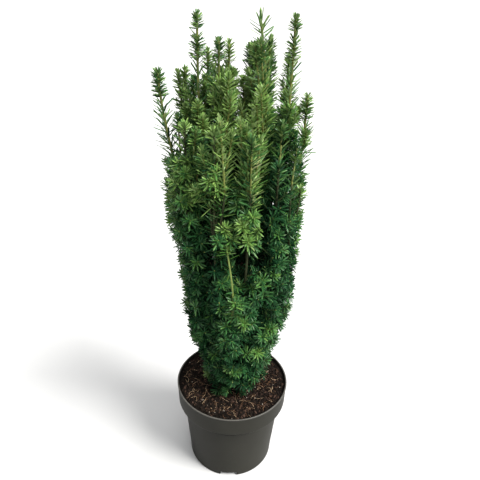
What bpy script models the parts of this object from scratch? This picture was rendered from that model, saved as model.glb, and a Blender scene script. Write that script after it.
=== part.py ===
"""An upright English yew, about 0.7 m tall, in a five litre nursery pot.

Metres, +Z up. The origin is the middle of the pot's flat underside. -Y is the front.
A trunk stands on the potting mix. Boughs leave it and spread like a vase, and each ends where
it enters a mass of foliage. A mass is one stem with twigs and needles that stand out of it,
and it keeps to the space that lies nearer to its own stem than to any other.
"""

import math
import random

import bmesh
import bpy
import numpy as np
from mathutils import Matrix, Vector

GAP = 0.0003
WELD = 0.000001

# Pot, filled with potting mix
POT_HEIGHT = 0.188
RIM_RADIUS = 0.114
BAND_DEPTH = 0.042
BAND_STEP = 0.007
BAND_FOOT_RADIUS = 0.1118
WALL_TOP_RADIUS = 0.100
FOOT_RADIUS = 0.0885
POT_WALL = 0.002
POT_SIDES = 40
NOTCH_COUNT = 4
NOTCH_WIDTH = 0.034
NOTCH_HEIGHT = 0.009
NOTCH_DEPTH = 0.010
NOTCH_BEARING = 269.0
DRAIN_COUNT = 4
DRAIN_RADIUS = 0.005
DRAIN_RING_RADIUS = 0.055
CUTTER_SPARE = 0.01

# Potting mix
SOIL_TOP = 0.178
SOIL_EDGE_RISE = 0.002
SOIL_FLAT_RADIUS = 0.024

# Trunk
TRUNK_FOOT = Vector((0.005, 0.0, SOIL_TOP + GAP))
TRUNK_TIP = Vector((0.013, -0.012, 0.470))
TRUNK_FOOT_RADIUS = 0.0105
TRUNK_TIP_RADIUS = 0.0045
ROOT_FLARE = 0.55
ROOT_FLARE_HEIGHT = 0.012
TRUNK_BEND = 0.004
TRUNK_SHARES = (0.0, 0.02, 0.06, 0.14, 0.28, 0.42, 0.56, 0.70, 0.85, 1.0)
TRUNK_ROUNDNESS = 6

# Boughs
BOUGH_FOOT_RADIUS = 0.0034
BOUGH_TIP_RADIUS = 0.0024
BOUGH_POINTS = 5
BOUGH_ROUNDNESS = 2

# Stems, twigs and needles of the foliage
STEM_TIP_RADIUS = 0.0011
STEM_POINTS = 8
STEM_ROUNDNESS = 0
TWIG_RADIUS = 0.0016
TWIG_TAPER = 0.45
NEEDLE_WIDTH = 0.0052
NEEDLE_THICKNESS = 0.0016
NEEDLE_WAIST = 0.40
GOLDEN_ANGLE = math.radians(137.508)
SEED = 11
MOST_GROWTHS = 8

# How far a star's needles vary in lean and length and how deep they root, as least and most, and
# how far a twig is drawn in until it fits
LEAN_VARIES = (0.85, 1.15)
LENGTH_VARIES = (0.85, 1.10)
ROOT_VARIES = (0.0005, 0.0020)
MIDDLE_NEEDLE_ROOT = 0.004
MIDDLE_NEEDLE = 0.8
TWIG_SHARES = (1.0, 0.8, 0.6)

# Where a stem's tuft sits and its head ends, and how far its needles shorten towards the tip
TUFT_SHARE = 0.985
HEAD_SHARE = 0.995
NEEDLES_SHORTEN = 0.35

# What foliage keeps clear of
SOIL_CLEARANCE = 0.004
LIMB_CLEARANCE = 0.0036
SPACE_CLEARANCE = 0.0065

# Cores: spindles with teeth. Teeth and valleys are shares of the radius, the rise of one ring's height.
CORE_SIDES = 8
CORE_TOOTH = 1.30
CORE_VALLEY = 0.78
CORE_TOOTH_RISE = 0.45
CORE_FULLNESS = 0.45
CORE_SHRINK = 0.85
CORE_SETTLINGS = 24

# Heads: the dense tips of leaders and flanks. A tip's needles stand above its stem by the tuft's rise.
HEAD_LENGTH = 0.036
HEAD_RINGS = 4
TUFT_RISE = 0.008

# Half width of the crown at a few heights, from the soil up
CROWN_HEIGHTS = (0.18, 0.28, 0.35, 0.48, 0.60, 0.76)
CROWN_REACHES = (0.072, 0.086, 0.108, 0.115, 0.124, 0.140)

# Leaders stand free above the crown. Each has its bearing in degrees from +X, anticlockwise from
# above, its tip's distance from the pot's axis, its tip's height, and how soon it spreads.
LEADERS = (
    ("left_outer", 194, 0.124, 0.798, 1.5),
    ("left_pair", 161, 0.093, 0.797, 2.0),
    ("left_tall", 189, 0.065, 0.875, 3.0),
    ("left_inner", 146, 0.063, 0.825, 3.0),
    ("middle_left", 212, 0.038, 0.842, 3.0),
    ("middle_back", 122, 0.036, 0.838, 3.0),
    ("middle_right", 60, 0.035, 0.835, 3.0),
    ("middle_tall", 312, 0.040, 0.880, 1.0),
    ("right_middle", 25, 0.045, 0.835, 3.0),
    ("right_inner", 29, 0.086, 0.818, 2.5),
    ("right_tall", 352, 0.075, 0.875, 3.0),
    ("right_outer", 5, 0.106, 0.765, 2.5),
)

# Shorter, denser masses round the sides of the crown, described in the same way
FLANKS = (
    ("front_left", 248, 0.092, 0.728, 4.0),
    ("front_right", 283, 0.087, 0.712, 4.0),
    ("right_front", 315, 0.088, 0.672, 4.0),
    ("right_side", 350, 0.105, 0.622, 2.6),
    ("back_right", 51, 0.096, 0.710, 4.0),
    ("back", 90, 0.090, 0.740, 4.0),
    ("back_left", 129, 0.096, 0.715, 4.0),
    ("left_side", 170, 0.114, 0.640, 2.6),
    ("left_front", 213, 0.096, 0.728, 4.0),
)

# Lowest masses, in a ring round the trunk's foot
SKIRT_COUNT = 7
SKIRT_BEARING = 265
SKIRT_REACH = 0.080
SKIRT_FOOT = 0.200
SKIRT_TOP = 0.400
SKIRT_SPREAD = 2.3

# The leader that carries on from the trunk's own tip, and the height past which a leader is tall:
# tall ones are bare below their heads
TRUNK_LEADER = "middle_tall"
TALL_LEADER = 0.85

# Heights at which boughs fork from the trunk, and at which their masses start
FLANK_LOWEST_FORK, FLANK_HIGHEST_FORK = 0.262, 0.318
LEADER_LOWEST_FORK, LEADER_HIGHEST_FORK = 0.335, 0.445
FLANK_START, LEADER_START = 0.335, 0.520

# How each kind of mass grows. Radii and lengths are in metres, angles in degrees from the stem or
# twig, and places along the stem are shares of its length.
HABITS = {
    "leader": {
        "core": (0.01, 0.94, 0.0125, 9), "head_radius": 0.0075,
        "tuft": (4, 0.020, 36), "needles": (11, 0.16, 0.96, 0.034, 56),
        "twigs": (1, 0.22, 0.22, 0.040, 0.040, 35), "star": (3, 0.028, 50),
    },
    "tall": {
        "core": (0.01, 0.66, 0.0125, 9), "head_radius": 0.0075,
        "tuft": (4, 0.020, 36), "needles": (11, 0.16, 0.96, 0.034, 56),
        "twigs": (1, 0.22, 0.22, 0.040, 0.040, 35), "star": (3, 0.028, 50),
    },
    "flank": {
        "core": (0.005, 0.86, 0.0240, 12), "head_radius": 0.0080,
        "tuft": (5, 0.026, 42), "needles": None,
        "twigs": (8, 0.03, 0.87, 0.044, 0.030, 58), "star": (3, 0.028, 60),
    },
    "skirt": {
        "core": (0.05, 0.98, 0.0310, 8), "head_radius": None,
        "tuft": (4, 0.026, 50), "needles": None,
        "twigs": (6, 0.16, 0.90, 0.034, 0.034, 68), "star": (4, 0.026, 62),
    },
}

# Where a core's faces are tested, as shares of their three corners
FACE_SAMPLES = np.array([
    (0.9, 0.05, 0.05),
    (0.05, 0.9, 0.05),
    (0.05, 0.05, 0.9),
    (0.5, 0.5, 0.0),
    (0.5, 0.0, 0.5),
    (0.0, 0.5, 0.5),
    (0.34, 0.33, 0.33),
])

COLOURS = {
    "pot": ((0.055, 0.057, 0.052), 0.55),
    "soil": ((0.050, 0.028, 0.018), 0.95),
    "bark": ((0.120, 0.070, 0.035), 0.80),
    "needles": ((0.035, 0.110, 0.022), 0.45),
}


# Scene and materials


def clear_scene():
    for obj in list(bpy.data.objects):
        bpy.data.objects.remove(obj, do_unlink=True)


def new_collection(name, rendered=True):
    collection = bpy.data.collections.new(name)
    collection.hide_render = not rendered
    bpy.context.scene.collection.children.link(collection)
    return collection


def make_materials():
    made = {}
    for name, (colour, roughness) in COLOURS.items():
        material = bpy.data.materials.new(name)
        material.use_nodes = True
        shader = material.node_tree.nodes["Principled BSDF"]
        shader.inputs["Base Color"].default_value = (*colour, 1.0)
        shader.inputs["Roughness"].default_value = roughness
        shader.inputs["Metallic"].default_value = 0.0
        made[name] = material
    return made


def add_mesh_object(name, mesh, collection, material=None):
    obj = bpy.data.objects.new(name, mesh)
    collection.objects.link(obj)
    if material:
        mesh.materials.clear()
        mesh.materials.append(material)
    return obj


def as_mesh_object(obj, collection):
    """The object with its modifiers applied, or a curve with its caps welded, as a mesh object."""
    name = obj.name
    material = obj.data.materials[0] if obj.data.materials else None
    bpy.context.view_layer.update()
    evaluated = obj.evaluated_get(bpy.context.evaluated_depsgraph_get())
    mesh = bpy.data.meshes.new_from_object(evaluated)
    matrix = obj.matrix_world.copy()
    bpy.data.objects.remove(obj, do_unlink=True)
    welded = bmesh.new()
    welded.from_mesh(mesh)
    bmesh.ops.remove_doubles(welded, verts=welded.verts, dist=WELD)
    welded.to_mesh(mesh)
    welded.free()
    made = add_mesh_object(name, mesh, collection, material)
    made.matrix_world = matrix
    return made


# Pot and potting mix


def turned(name, profile, collection, material):
    """A solid of revolution from a profile in X and Z that runs from axis to axis, down its outer side."""
    mesh = bpy.data.meshes.new(name)
    points = [(radius, 0.0, height) for radius, height in profile]
    mesh.from_pydata(points, [(i, i + 1) for i in range(len(points) - 1)], [])
    obj = add_mesh_object(name, mesh, collection, material)
    screw = obj.modifiers.new("turn", "SCREW")
    screw.axis = "Z"
    screw.angle = math.tau
    screw.steps = screw.render_steps = POT_SIDES
    screw.use_merge_vertices = True
    screw.merge_threshold = 0.0001
    return obj


def cut_or_join(obj, tool, operation):
    boolean = obj.modifiers.new(tool.name, "BOOLEAN")
    boolean.operation = operation
    boolean.solver = "EXACT"
    boolean.object = tool


def block(name, size, middle, bearing, collection):
    """A box of a size along its radial, sideways and upright directions, at a bearing."""
    mesh = bpy.data.meshes.new(name)
    shape = bmesh.new()
    bmesh.ops.create_cube(shape, size=1.0, matrix=Matrix.Diagonal((*size, 1.0)))
    shape.to_mesh(mesh)
    shape.free()
    obj = add_mesh_object(name, mesh, collection)
    turn = Matrix.Rotation(math.radians(bearing), 4, "Z")
    obj.matrix_world = turn @ Matrix.Translation(middle)
    obj.display_type = "WIRE"
    return obj


def notch_bearings():
    return [NOTCH_BEARING + 360.0 * k / NOTCH_COUNT for k in range(NOTCH_COUNT)]


def notch_block(name, bearing, grow, outside, collection):
    """The box of one foot notch: grow adds to its roof and sides, outside is how far it passes the wall."""
    inner = FOOT_RADIUS - NOTCH_DEPTH - grow
    outer = FOOT_RADIUS + outside
    below = CUTTER_SPARE if outside > 0 else -POT_WALL / 2
    height = NOTCH_HEIGHT + grow + below
    size = (outer - inner, NOTCH_WIDTH + 2 * grow, height)
    middle = ((outer + inner) / 2, 0.0, height / 2 - below)
    return block(name, size, middle, bearing, collection)


def pot_inside_profile(clearance):
    """The pot's inner wall from its floor up, moved inwards by a clearance."""
    inset = POT_WALL + clearance
    step_foot = POT_HEIGHT - BAND_DEPTH - BAND_STEP + POT_WALL * 0.5
    taper = (WALL_TOP_RADIUS - FOOT_RADIUS) / step_foot
    return (
        (FOOT_RADIUS - inset + taper * (POT_WALL + clearance), POT_WALL + clearance),
        (WALL_TOP_RADIUS - inset, step_foot),
        (BAND_FOOT_RADIUS - inset, step_foot + BAND_STEP),
        (RIM_RADIUS - inset, POT_HEIGHT),
    )


def make_pot(parts, cutters, materials):
    profile = [
        (0.0, POT_WALL),
        *pot_inside_profile(0.0),
        (RIM_RADIUS, POT_HEIGHT),
        (BAND_FOOT_RADIUS, POT_HEIGHT - BAND_DEPTH),
        (WALL_TOP_RADIUS, POT_HEIGHT - BAND_DEPTH - BAND_STEP),
        (FOOT_RADIUS, 0.0),
        (0.0, 0.0),
    ]
    pot = turned("pot", profile, parts, materials["pot"])
    for k, bearing in enumerate(notch_bearings()):
        cover = notch_block(f"notch_cover_{k}", bearing, POT_WALL, -POT_WALL / 2, cutters)
        cut_or_join(pot, cover, "UNION")
        notch = notch_block(f"notch_{k}", bearing, 0.0, CUTTER_SPARE, cutters)
        cut_or_join(pot, notch, "DIFFERENCE")
    for k in range(DRAIN_COUNT):
        drain_bearing = NOTCH_BEARING + 360.0 * (k + 0.5) / DRAIN_COUNT
        cut_or_join(pot, drain_cutter(k, drain_bearing, cutters), "DIFFERENCE")


def drain_cutter(index, bearing, collection):
    mesh = bpy.data.meshes.new(f"drain_{index}")
    shape = bmesh.new()
    size = {"radius1": DRAIN_RADIUS, "radius2": DRAIN_RADIUS, "depth": POT_WALL + CUTTER_SPARE}
    bmesh.ops.create_cone(shape, cap_ends=True, segments=10, **size)
    shape.to_mesh(mesh)
    shape.free()
    obj = add_mesh_object(f"drain_{index}", mesh, collection)
    obj.display_type = "WIRE"
    turn = Matrix.Rotation(math.radians(bearing), 4, "Z")
    obj.matrix_world = turn @ Matrix.Translation((DRAIN_RING_RADIUS, 0.0, POT_WALL / 2))
    return obj


def make_soil(parts, cutters, materials):
    floor, step_foot, step_top, rim = pot_inside_profile(GAP)
    edge_height = SOIL_TOP + SOIL_EDGE_RISE
    share = (edge_height - step_top[1]) / (rim[1] - step_top[1])
    edge_radius = step_top[0] + (rim[0] - step_top[0]) * share
    profile = [
        (0.0, SOIL_TOP),
        (SOIL_FLAT_RADIUS, SOIL_TOP),
        (edge_radius, edge_height),
        step_top,
        step_foot,
        floor,
        (0.0, floor[1]),
    ]
    soil = turned("soil", profile, parts, materials["soil"])
    for k, bearing in enumerate(notch_bearings()):
        hollow = notch_block(f"soil_hollow_{k}", bearing, POT_WALL + GAP, CUTTER_SPARE, cutters)
        cut_or_join(soil, hollow, "DIFFERENCE")


# Limbs


def tube(name, path, radii, roundness, collection, material):
    """A tapering limb: a curve of straight runs with a round bevel and filled caps."""
    curve = bpy.data.curves.new(name, "CURVE")
    curve.dimensions = "3D"
    curve.bevel_depth = max(radii)
    curve.bevel_resolution = roundness
    curve.use_fill_caps = True
    spline = curve.splines.new("POLY")
    spline.points.add(len(path) - 1)
    for point, place, radius in zip(spline.points, path, radii):
        point.co = (*place, 1.0)
        point.radius = radius / max(radii)
    curve.materials.append(material)
    obj = bpy.data.objects.new(name, curve)
    collection.objects.link(obj)
    return obj


def trunk_point(share):
    """The trunk's axis at a share of its height: a slight bend and lean."""
    point = TRUNK_FOOT.lerp(TRUNK_TIP, share)
    point.x += TRUNK_BEND * math.sin(math.tau * share) * share
    point.y += TRUNK_BEND * math.sin(math.pi * share)
    return point


def trunk_radius(share):
    taper = TRUNK_FOOT_RADIUS + (TRUNK_TIP_RADIUS - TRUNK_FOOT_RADIUS) * share
    rise = share * (TRUNK_TIP.z - TRUNK_FOOT.z)
    return taper * (1.0 + ROOT_FLARE * math.exp(-rise / ROOT_FLARE_HEIGHT))


def trunk_shape():
    """The trunk's axis and radii. The lowest run is upright, so that the foot is cut level."""
    path = [trunk_point(share) for share in TRUNK_SHARES]
    path[1].xy = path[0].xy
    return path, [trunk_radius(share) for share in TRUNK_SHARES]


def share_at(height):
    return (height - TRUNK_FOOT.z) / (TRUNK_TIP.z - TRUNK_FOOT.z)


def limb_path(bearing, reach, top, spread, fork, count=24):
    """The run of a bough and the stem beyond it, from the trunk at the fork's height to the tip."""
    angle = math.radians(bearing)
    tip = Vector((reach * math.cos(angle), reach * math.sin(angle), top - TUFT_RISE))
    axis = trunk_point(share_at(fork))
    outward = Vector((tip.x - axis.x, tip.y - axis.y, 0.0)).normalized()
    slope = spread * (tip.xy - axis.xy).length / (top - fork)
    lean = math.atan(slope)
    seat = trunk_radius(share_at(fork)) + GAP + BOUGH_FOOT_RADIUS * math.cos(lean)
    start = axis + outward * seat
    path = []
    for k in range(count):
        share = k / (count - 1)
        out = 1.0 - (1.0 - share) ** spread
        path.append(Vector((
            start.x + (tip.x - start.x) * out,
            start.y + (tip.y - start.y) * out,
            start.z + (tip.z - start.z) * share,
        )))
    return path


def split_path(path, height):
    """The path below and above a height, with the limbs' gap between the two."""
    below = [p for p in path if p.z < height - 0.004]
    above = [p for p in path if p.z > height + 0.004]
    share = (height - below[-1].z) / (above[0].z - below[-1].z)
    cut = below[-1].lerp(above[0], share)
    run = (above[0] - below[-1]).normalized()
    return below + [cut], [cut + run * GAP] + above


def resampled(path, count):
    """The same run with another number of points, ends kept."""
    last = len(path) - 1
    points = []
    for k in range(count):
        place = last * k / (count - 1)
        low = min(int(place), last - 1)
        points.append(path[low].lerp(path[low + 1], place - low))
    return points


def tapered(count, foot, tip):
    return [foot + (tip - foot) * k / (count - 1) for k in range(count)]


# Space that each mass keeps to


def as_array(path):
    return np.array([tuple(p) for p in path], float)


def clearance(points, path, radii):
    """How far each point is from the surface of a limb along a path."""
    a, b = path[:-1], path[1:]
    run = b - a
    share = np.clip(((points[:, None] - a) * run).sum(2) / (run * run).sum(1), 0.0, 1.0)
    foot = a + share[..., None] * run
    thick = radii[:-1] + (radii[1:] - radii[:-1]) * share
    return (np.linalg.norm(points[:, None] - foot, axis=2) - thick).min(1)


class Space:
    """Says whether points lie nearer to one mass's stem than to any other, and clear of the limbs."""

    def __init__(self, stems, limbs):
        self.stems = {name: (as_array(path), np.zeros(len(path))) for name, path in stems.items()}
        self.limbs = [(as_array(path), np.array(radii)) for path, radii in limbs]

    def room(self, name, points):
        """The least distance from each point to anything that its mass must stay clear of."""
        points = np.asarray(points, float)
        own = clearance(points, *self.stems[name])
        others = [clearance(points, *stem) for other, stem in self.stems.items() if other != name]
        to_neighbour = np.min(others, axis=0) - own - SPACE_CLEARANCE
        to_limb = np.min([clearance(points, *limb) for limb in self.limbs], axis=0) - LIMB_CLEARANCE
        reach = np.interp(points[:, 2], CROWN_HEIGHTS, CROWN_REACHES)
        to_outside = reach - np.hypot(points[:, 0], points[:, 1])
        to_soil = points[:, 2] - SOIL_TOP - SOIL_CLEARANCE
        return np.min([to_neighbour, to_limb, to_outside, to_soil], axis=0)

    def holds(self, name, start, end, skip=0.25):
        """True if a straight twig or needle fits. Its sunk root, the first share of it, isn't read."""
        shares = np.linspace(skip, 1.0, 7)[:, None]
        start, end = np.array(start), np.array(end)
        return bool(self.room(name, start + (end - start) * shares).min() > 0.0)


# Twigs and needles


def sideways(direction, bearing):
    """A unit vector square to a direction, at a bearing round it."""
    helper = Vector((1.0, 0.0, 0.0)) if abs(direction.x) < 0.8 else Vector((0.0, 1.0, 0.0))
    first = direction.cross(helper).normalized()
    second = direction.cross(first)
    return first * math.cos(bearing) + second * math.sin(bearing)


def leaning(direction, bearing, angle):
    """A direction turned away from another by an angle, towards a bearing round it."""
    return (direction * math.cos(angle) + sideways(direction, bearing) * math.sin(angle)).normalized()


def needle_mesh():
    """A needle one metre long along +Z: eight faces, widest at its waist, pointed at both ends."""
    mesh = bpy.data.meshes.new("needle")
    shape = bmesh.new()
    bmesh.ops.create_uvsphere(shape, u_segments=4, v_segments=2, radius=0.5)
    for vert in shape.verts:
        vert.co.z += 0.5
        if abs(vert.co.z - 0.5) < 0.1:
            vert.co.z = NEEDLE_WAIST
    shape.to_mesh(mesh)
    shape.free()
    return mesh


def twig_mesh():
    """A twig one metre long along +Z and one metre wide at its foot: three sides."""
    mesh = bpy.data.meshes.new("twig")
    shape = bmesh.new()
    bmesh.ops.create_cone(shape, cap_ends=True, segments=3, radius1=1.0, radius2=TWIG_TAPER, depth=1.0)
    bmesh.ops.translate(shape, verts=shape.verts, vec=(0.0, 0.0, 0.5))
    shape.to_mesh(mesh)
    shape.free()
    return mesh


def frame_along(start, direction, across):
    """A frame at a point with +Z along a direction and +X across it."""
    side = (across - direction * across.dot(direction)).normalized()
    matrix = Matrix((side, direction.cross(side), direction)).transposed().to_4x4()
    matrix.translation = start
    return matrix


class Mass:
    """Collects the stem, core, twigs and needles of one mass, then joins them into one solid."""

    def __init__(self, name, path, space, tools, shapes, rng):
        self.name, self.path, self.space = name, path, space
        self.tools, self.shapes, self.rng = tools, shapes, rng
        self.length = sum((b - a).length for a, b in zip(path, path[1:]))

    def at(self, share):
        """The stem's point and direction at a share of its length."""
        wanted = share * self.length
        for a, b in zip(self.path, self.path[1:]):
            run = (b - a).length
            if wanted <= run:
                return a.lerp(b, wanted / run), (b - a).normalized()
            wanted -= run
        return self.path[-1].copy(), (self.path[-1] - self.path[-2]).normalized()

    def place(self, mesh, kind, matrix):
        obj = bpy.data.objects.new(f"{self.name}_{kind}", mesh)
        obj.matrix_world = matrix
        self.tools.objects.link(obj)

    def needle(self, root, direction, length):
        """Adds one needle if it fits the mass's space."""
        if not self.space.holds(self.name, root, root + direction * length):
            return
        across = sideways(direction, self.rng.uniform(0.0, math.tau))
        size = Matrix.Diagonal((NEEDLE_WIDTH, NEEDLE_THICKNESS, length, 1.0))
        self.place(self.shapes["needle"], "needle", frame_along(root, direction, across) @ size)

    def star(self, centre, direction, count, length, angle):
        """Needles spread round the end of a twig at an angle in degrees, and one straight on."""
        turn = self.rng.uniform(0.0, math.tau)
        for k in range(count):
            lean = math.radians(angle) * self.rng.uniform(*LEAN_VARIES)
            heading = leaning(direction, turn + math.tau * k / count, lean)
            root = centre - direction * self.rng.uniform(*ROOT_VARIES)
            self.needle(root, heading, length * self.rng.uniform(*LENGTH_VARIES))
        self.needle(centre - direction * MIDDLE_NEEDLE_ROOT, direction, length * MIDDLE_NEEDLE)

    def twig(self, share, bearing, angle, length):
        """A side twig from the stem. It is drawn in until it fits, and returns its end, or None."""
        start, along = self.at(share)
        heading = leaning(along, bearing, angle)
        for drawn in TWIG_SHARES:
            end = start + heading * length * drawn
            if self.space.holds(self.name, start, end, skip=0.5):
                size = Matrix.Diagonal((TWIG_RADIUS, TWIG_RADIUS, length * drawn, 1.0))
                across = sideways(heading, bearing)
                self.place(self.shapes["twig"], "twig", frame_along(start, heading, across) @ size)
                return end, heading
        return None

    def core(self, first, last, radius, rings):
        """A spindle round the stem whose every other corner is a tooth that points up and out."""
        mesh = bpy.data.meshes.new(f"{self.name}_core")
        shape = bmesh.new()
        bmesh.ops.create_uvsphere(shape, u_segments=CORE_SIDES, v_segments=rings, radius=1.0)
        bmesh.ops.triangulate(shape, faces=shape.faces)
        centres, outs, lengths = [], [], []
        for vert in shape.verts:
            polar = math.acos(max(-1.0, min(1.0, vert.co.z))) / math.pi
            ring = round(polar * rings)
            side = round(math.atan2(vert.co.y, vert.co.x) / math.tau * CORE_SIDES)
            tooth = (ring + side) % 2 == 0 and 0 < ring < rings
            rise = CORE_TOOTH_RISE * (last - first) / rings if tooth else 0.0
            centre, along = self.at(first + (last - first) * (1.0 - polar) + rise)
            out = Vector((vert.co.x, vert.co.y, 0.0))
            out -= along * out.dot(along)
            if out.length > 0.01:
                out = out.normalized() * math.sin(polar * math.pi) ** CORE_FULLNESS
            centres.append(tuple(centre))
            outs.append(tuple(out))
            lengths.append(radius * (CORE_TOOTH if tooth else CORE_VALLEY) * self.rng.uniform(0.88, 1.12))
        shape.verts.index_update()
        corners = np.array([[vert.index for vert in face.verts] for face in shape.faces])
        places = self.settled(np.array(centres), np.array(outs), np.array(lengths), corners)
        for vert, place in zip(shape.verts, places):
            vert.co = place
        shape.to_mesh(mesh)
        shape.free()
        self.place(mesh, "core", Matrix.Identity(4))

    def settled(self, centres, outs, lengths, corners):
        """Corners of a core, with those of every face that isn't clear drawn in until it is."""
        for _ in range(CORE_SETTLINGS):
            places = centres + outs * lengths[:, None]
            samples = np.einsum("sc,fcx->fsx", FACE_SAMPLES, places[corners])
            room = self.space.room(self.name, samples.reshape(-1, 3)).reshape(len(corners), -1)
            tight = corners[room.min(1) < 0.0]
            if not len(tight):
                break
            lengths[np.unique(tight)] *= CORE_SHRINK
        return centres + outs * lengths[:, None]

    def joined(self, foot_radius, collection, material):
        """Makes the mass one solid, by one union of the stem with all that was collected. True if closed."""
        radii = tapered(STEM_POINTS, foot_radius, STEM_TIP_RADIUS)
        stem = tube(f"foliage_{self.name}", self.path, radii, STEM_ROUNDNESS, collection, material)
        stem = as_mesh_object(stem, collection)
        union = stem.modifiers.new("union", "BOOLEAN")
        union.operation = "UNION"
        union.solver = "EXACT"
        union.operand_type = "COLLECTION"
        union.collection = self.tools
        bpy.context.view_layer.update()
        evaluated = stem.evaluated_get(bpy.context.evaluated_depsgraph_get())
        mesh = bpy.data.meshes.new_from_object(evaluated)
        closed = tidied(mesh)
        stem.modifiers.remove(union)
        stem.data = mesh
        for tool in list(self.tools.objects):
            bpy.data.objects.remove(tool, do_unlink=True)
        if not closed:
            bpy.data.objects.remove(stem, do_unlink=True)
        return closed


def tidied(mesh):
    """Drops loose scraps, and the walls of sealed hollows, which fills them. True if the rest is closed."""
    shape = bmesh.new()
    shape.from_mesh(mesh)
    bmesh.ops.remove_doubles(shape, verts=shape.verts, dist=WELD)
    left, shells = set(shape.faces), []
    while left:
        shell, front = [], [left.pop()]
        while front:
            face = front.pop()
            shell.append(face)
            near = {other for edge in face.edges for other in edge.link_faces} & left
            left -= near
            front.extend(near)
        shells.append(shell)
    shells.sort(key=len)
    for shell in shells[:-1]:
        bmesh.ops.delete(shape, geom=shell, context="FACES")
    bmesh.ops.triangulate(shape, faces=shape.faces)
    closed = all(len(edge.link_faces) == 2 for edge in shape.edges)
    shape.to_mesh(mesh)
    shape.free()
    return closed


def spaced(count, first, last):
    """Evenly spaced shares from the first to the last."""
    return [first + (last - first) * k / max(1, count - 1) for k in range(count)]


def grow(mass, habit):
    """Grows a mass by its habit: core, head, tuft, needles on the stem, and twigs that end in stars."""
    mass.core(*habit["core"])
    if habit["head_radius"]:
        mass.core(1.0 - HEAD_LENGTH / mass.length, HEAD_SHARE, habit["head_radius"], HEAD_RINGS)
    tip, along = mass.at(TUFT_SHARE)
    mass.star(tip, along, *habit["tuft"])
    if habit["needles"]:
        count, first, last, longest, angle = habit["needles"]
        for k, share in enumerate(spaced(count, first, last)):
            root, along = mass.at(share)
            length = longest * (1.0 - NEEDLES_SHORTEN * share**4)
            mass.needle(root, leaning(along, GOLDEN_ANGLE * k, math.radians(angle)), length)
    count, first, last, longest, shortest, angle = habit["twigs"]
    for k, share in enumerate(spaced(count, first, last)):
        length = longest + (shortest - longest) * share
        grown = mass.twig(share, GOLDEN_ANGLE * k, math.radians(angle), length)
        if grown:
            mass.star(*grown, *habit["star"])


# Assembly


def forks(rows, low, high):
    """Fork heights on the trunk: the farther a tip reaches, the lower its bough forks."""
    order = sorted(rows, key=lambda row: -row[2])
    step = (high - low) / (len(order) - 1)
    return {row[0]: low + step * k for k, row in enumerate(order)}


def plan():
    """Each mass's name, kind and path from the trunk to its tip."""
    planned = {}
    for kind, rows, low, high in (
        ("leader", LEADERS, LEADER_LOWEST_FORK, LEADER_HIGHEST_FORK),
        ("flank", FLANKS, FLANK_LOWEST_FORK, FLANK_HIGHEST_FORK),
    ):
        height = forks([row for row in rows if row[0] != TRUNK_LEADER], low, high)
        for name, *tip in rows:
            path = central_path(*tip) if name == TRUNK_LEADER else limb_path(*tip, height[name])
            tall = kind == "leader" and path[-1].z > TALL_LEADER
            planned[name] = ("tall" if tall else kind, path)
    for k in range(SKIRT_COUNT):
        bearing = SKIRT_BEARING + 360.0 * k / SKIRT_COUNT
        path = limb_path(bearing, SKIRT_REACH, SKIRT_TOP, SKIRT_SPREAD, SKIRT_FOOT)
        planned[f"skirt_{k + 1}"] = ("skirt", path)
    return planned


def central_path(bearing, reach, top, spread, count=16):
    """The leader that carries on from the trunk's own tip."""
    angle = math.radians(bearing)
    tip = Vector((reach * math.cos(angle), reach * math.sin(angle), top - TUFT_RISE))
    start = TRUNK_TIP + (trunk_point(1.0) - trunk_point(0.98)).normalized() * GAP
    shares = [k / (count - 1) for k in range(count)]
    return [start.lerp(tip, 1.0 - (1.0 - share) ** spread) for share in shares]


def main():
    clear_scene()
    parts = new_collection("english_yew")
    cutters = new_collection("cutters", rendered=False)
    tools = new_collection("mass_pieces", rendered=False)
    materials = make_materials()
    make_pot(parts, cutters, materials)
    make_soil(parts, cutters, materials)
    trunk, trunk_radii = trunk_shape()
    tube("trunk", trunk, trunk_radii, TRUNK_ROUNDNESS, parts, materials["bark"])

    stems, limbs, feet = {}, [(trunk, trunk_radii)], {}
    planned = plan()
    for name, (kind, path) in planned.items():
        if kind == "skirt" or name == TRUNK_LEADER:
            stems[name], feet[name] = path, BOUGH_FOOT_RADIUS
            continue
        start = FLANK_START if kind == "flank" else LEADER_START
        bough, stems[name] = split_path(path, start)
        bough = resampled(bough, BOUGH_POINTS)
        radii = tapered(BOUGH_POINTS, BOUGH_FOOT_RADIUS, BOUGH_TIP_RADIUS)
        tube(f"bough_{name}", bough, radii, BOUGH_ROUNDNESS, parts, materials["bark"])
        limbs.append((bough, radii))
        feet[name] = BOUGH_TIP_RADIUS

    stems = {name: resampled(path, STEM_POINTS) for name, path in stems.items()}
    space = Space(stems, limbs)
    shapes = {"needle": needle_mesh(), "twig": twig_mesh()}
    for name, (kind, _) in planned.items():
        for growth in range(MOST_GROWTHS):
            rng = random.Random(f"{name} {SEED} {growth}")
            mass = Mass(name, stems[name], space, tools, shapes, rng)
            grow(mass, HABITS[kind])
            if mass.joined(feet[name], parts, materials["needles"]):
                break


main()
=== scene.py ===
import functools
import math

import bmesh
import bpy
import numpy as np
from mathutils import Matrix, Vector


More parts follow.
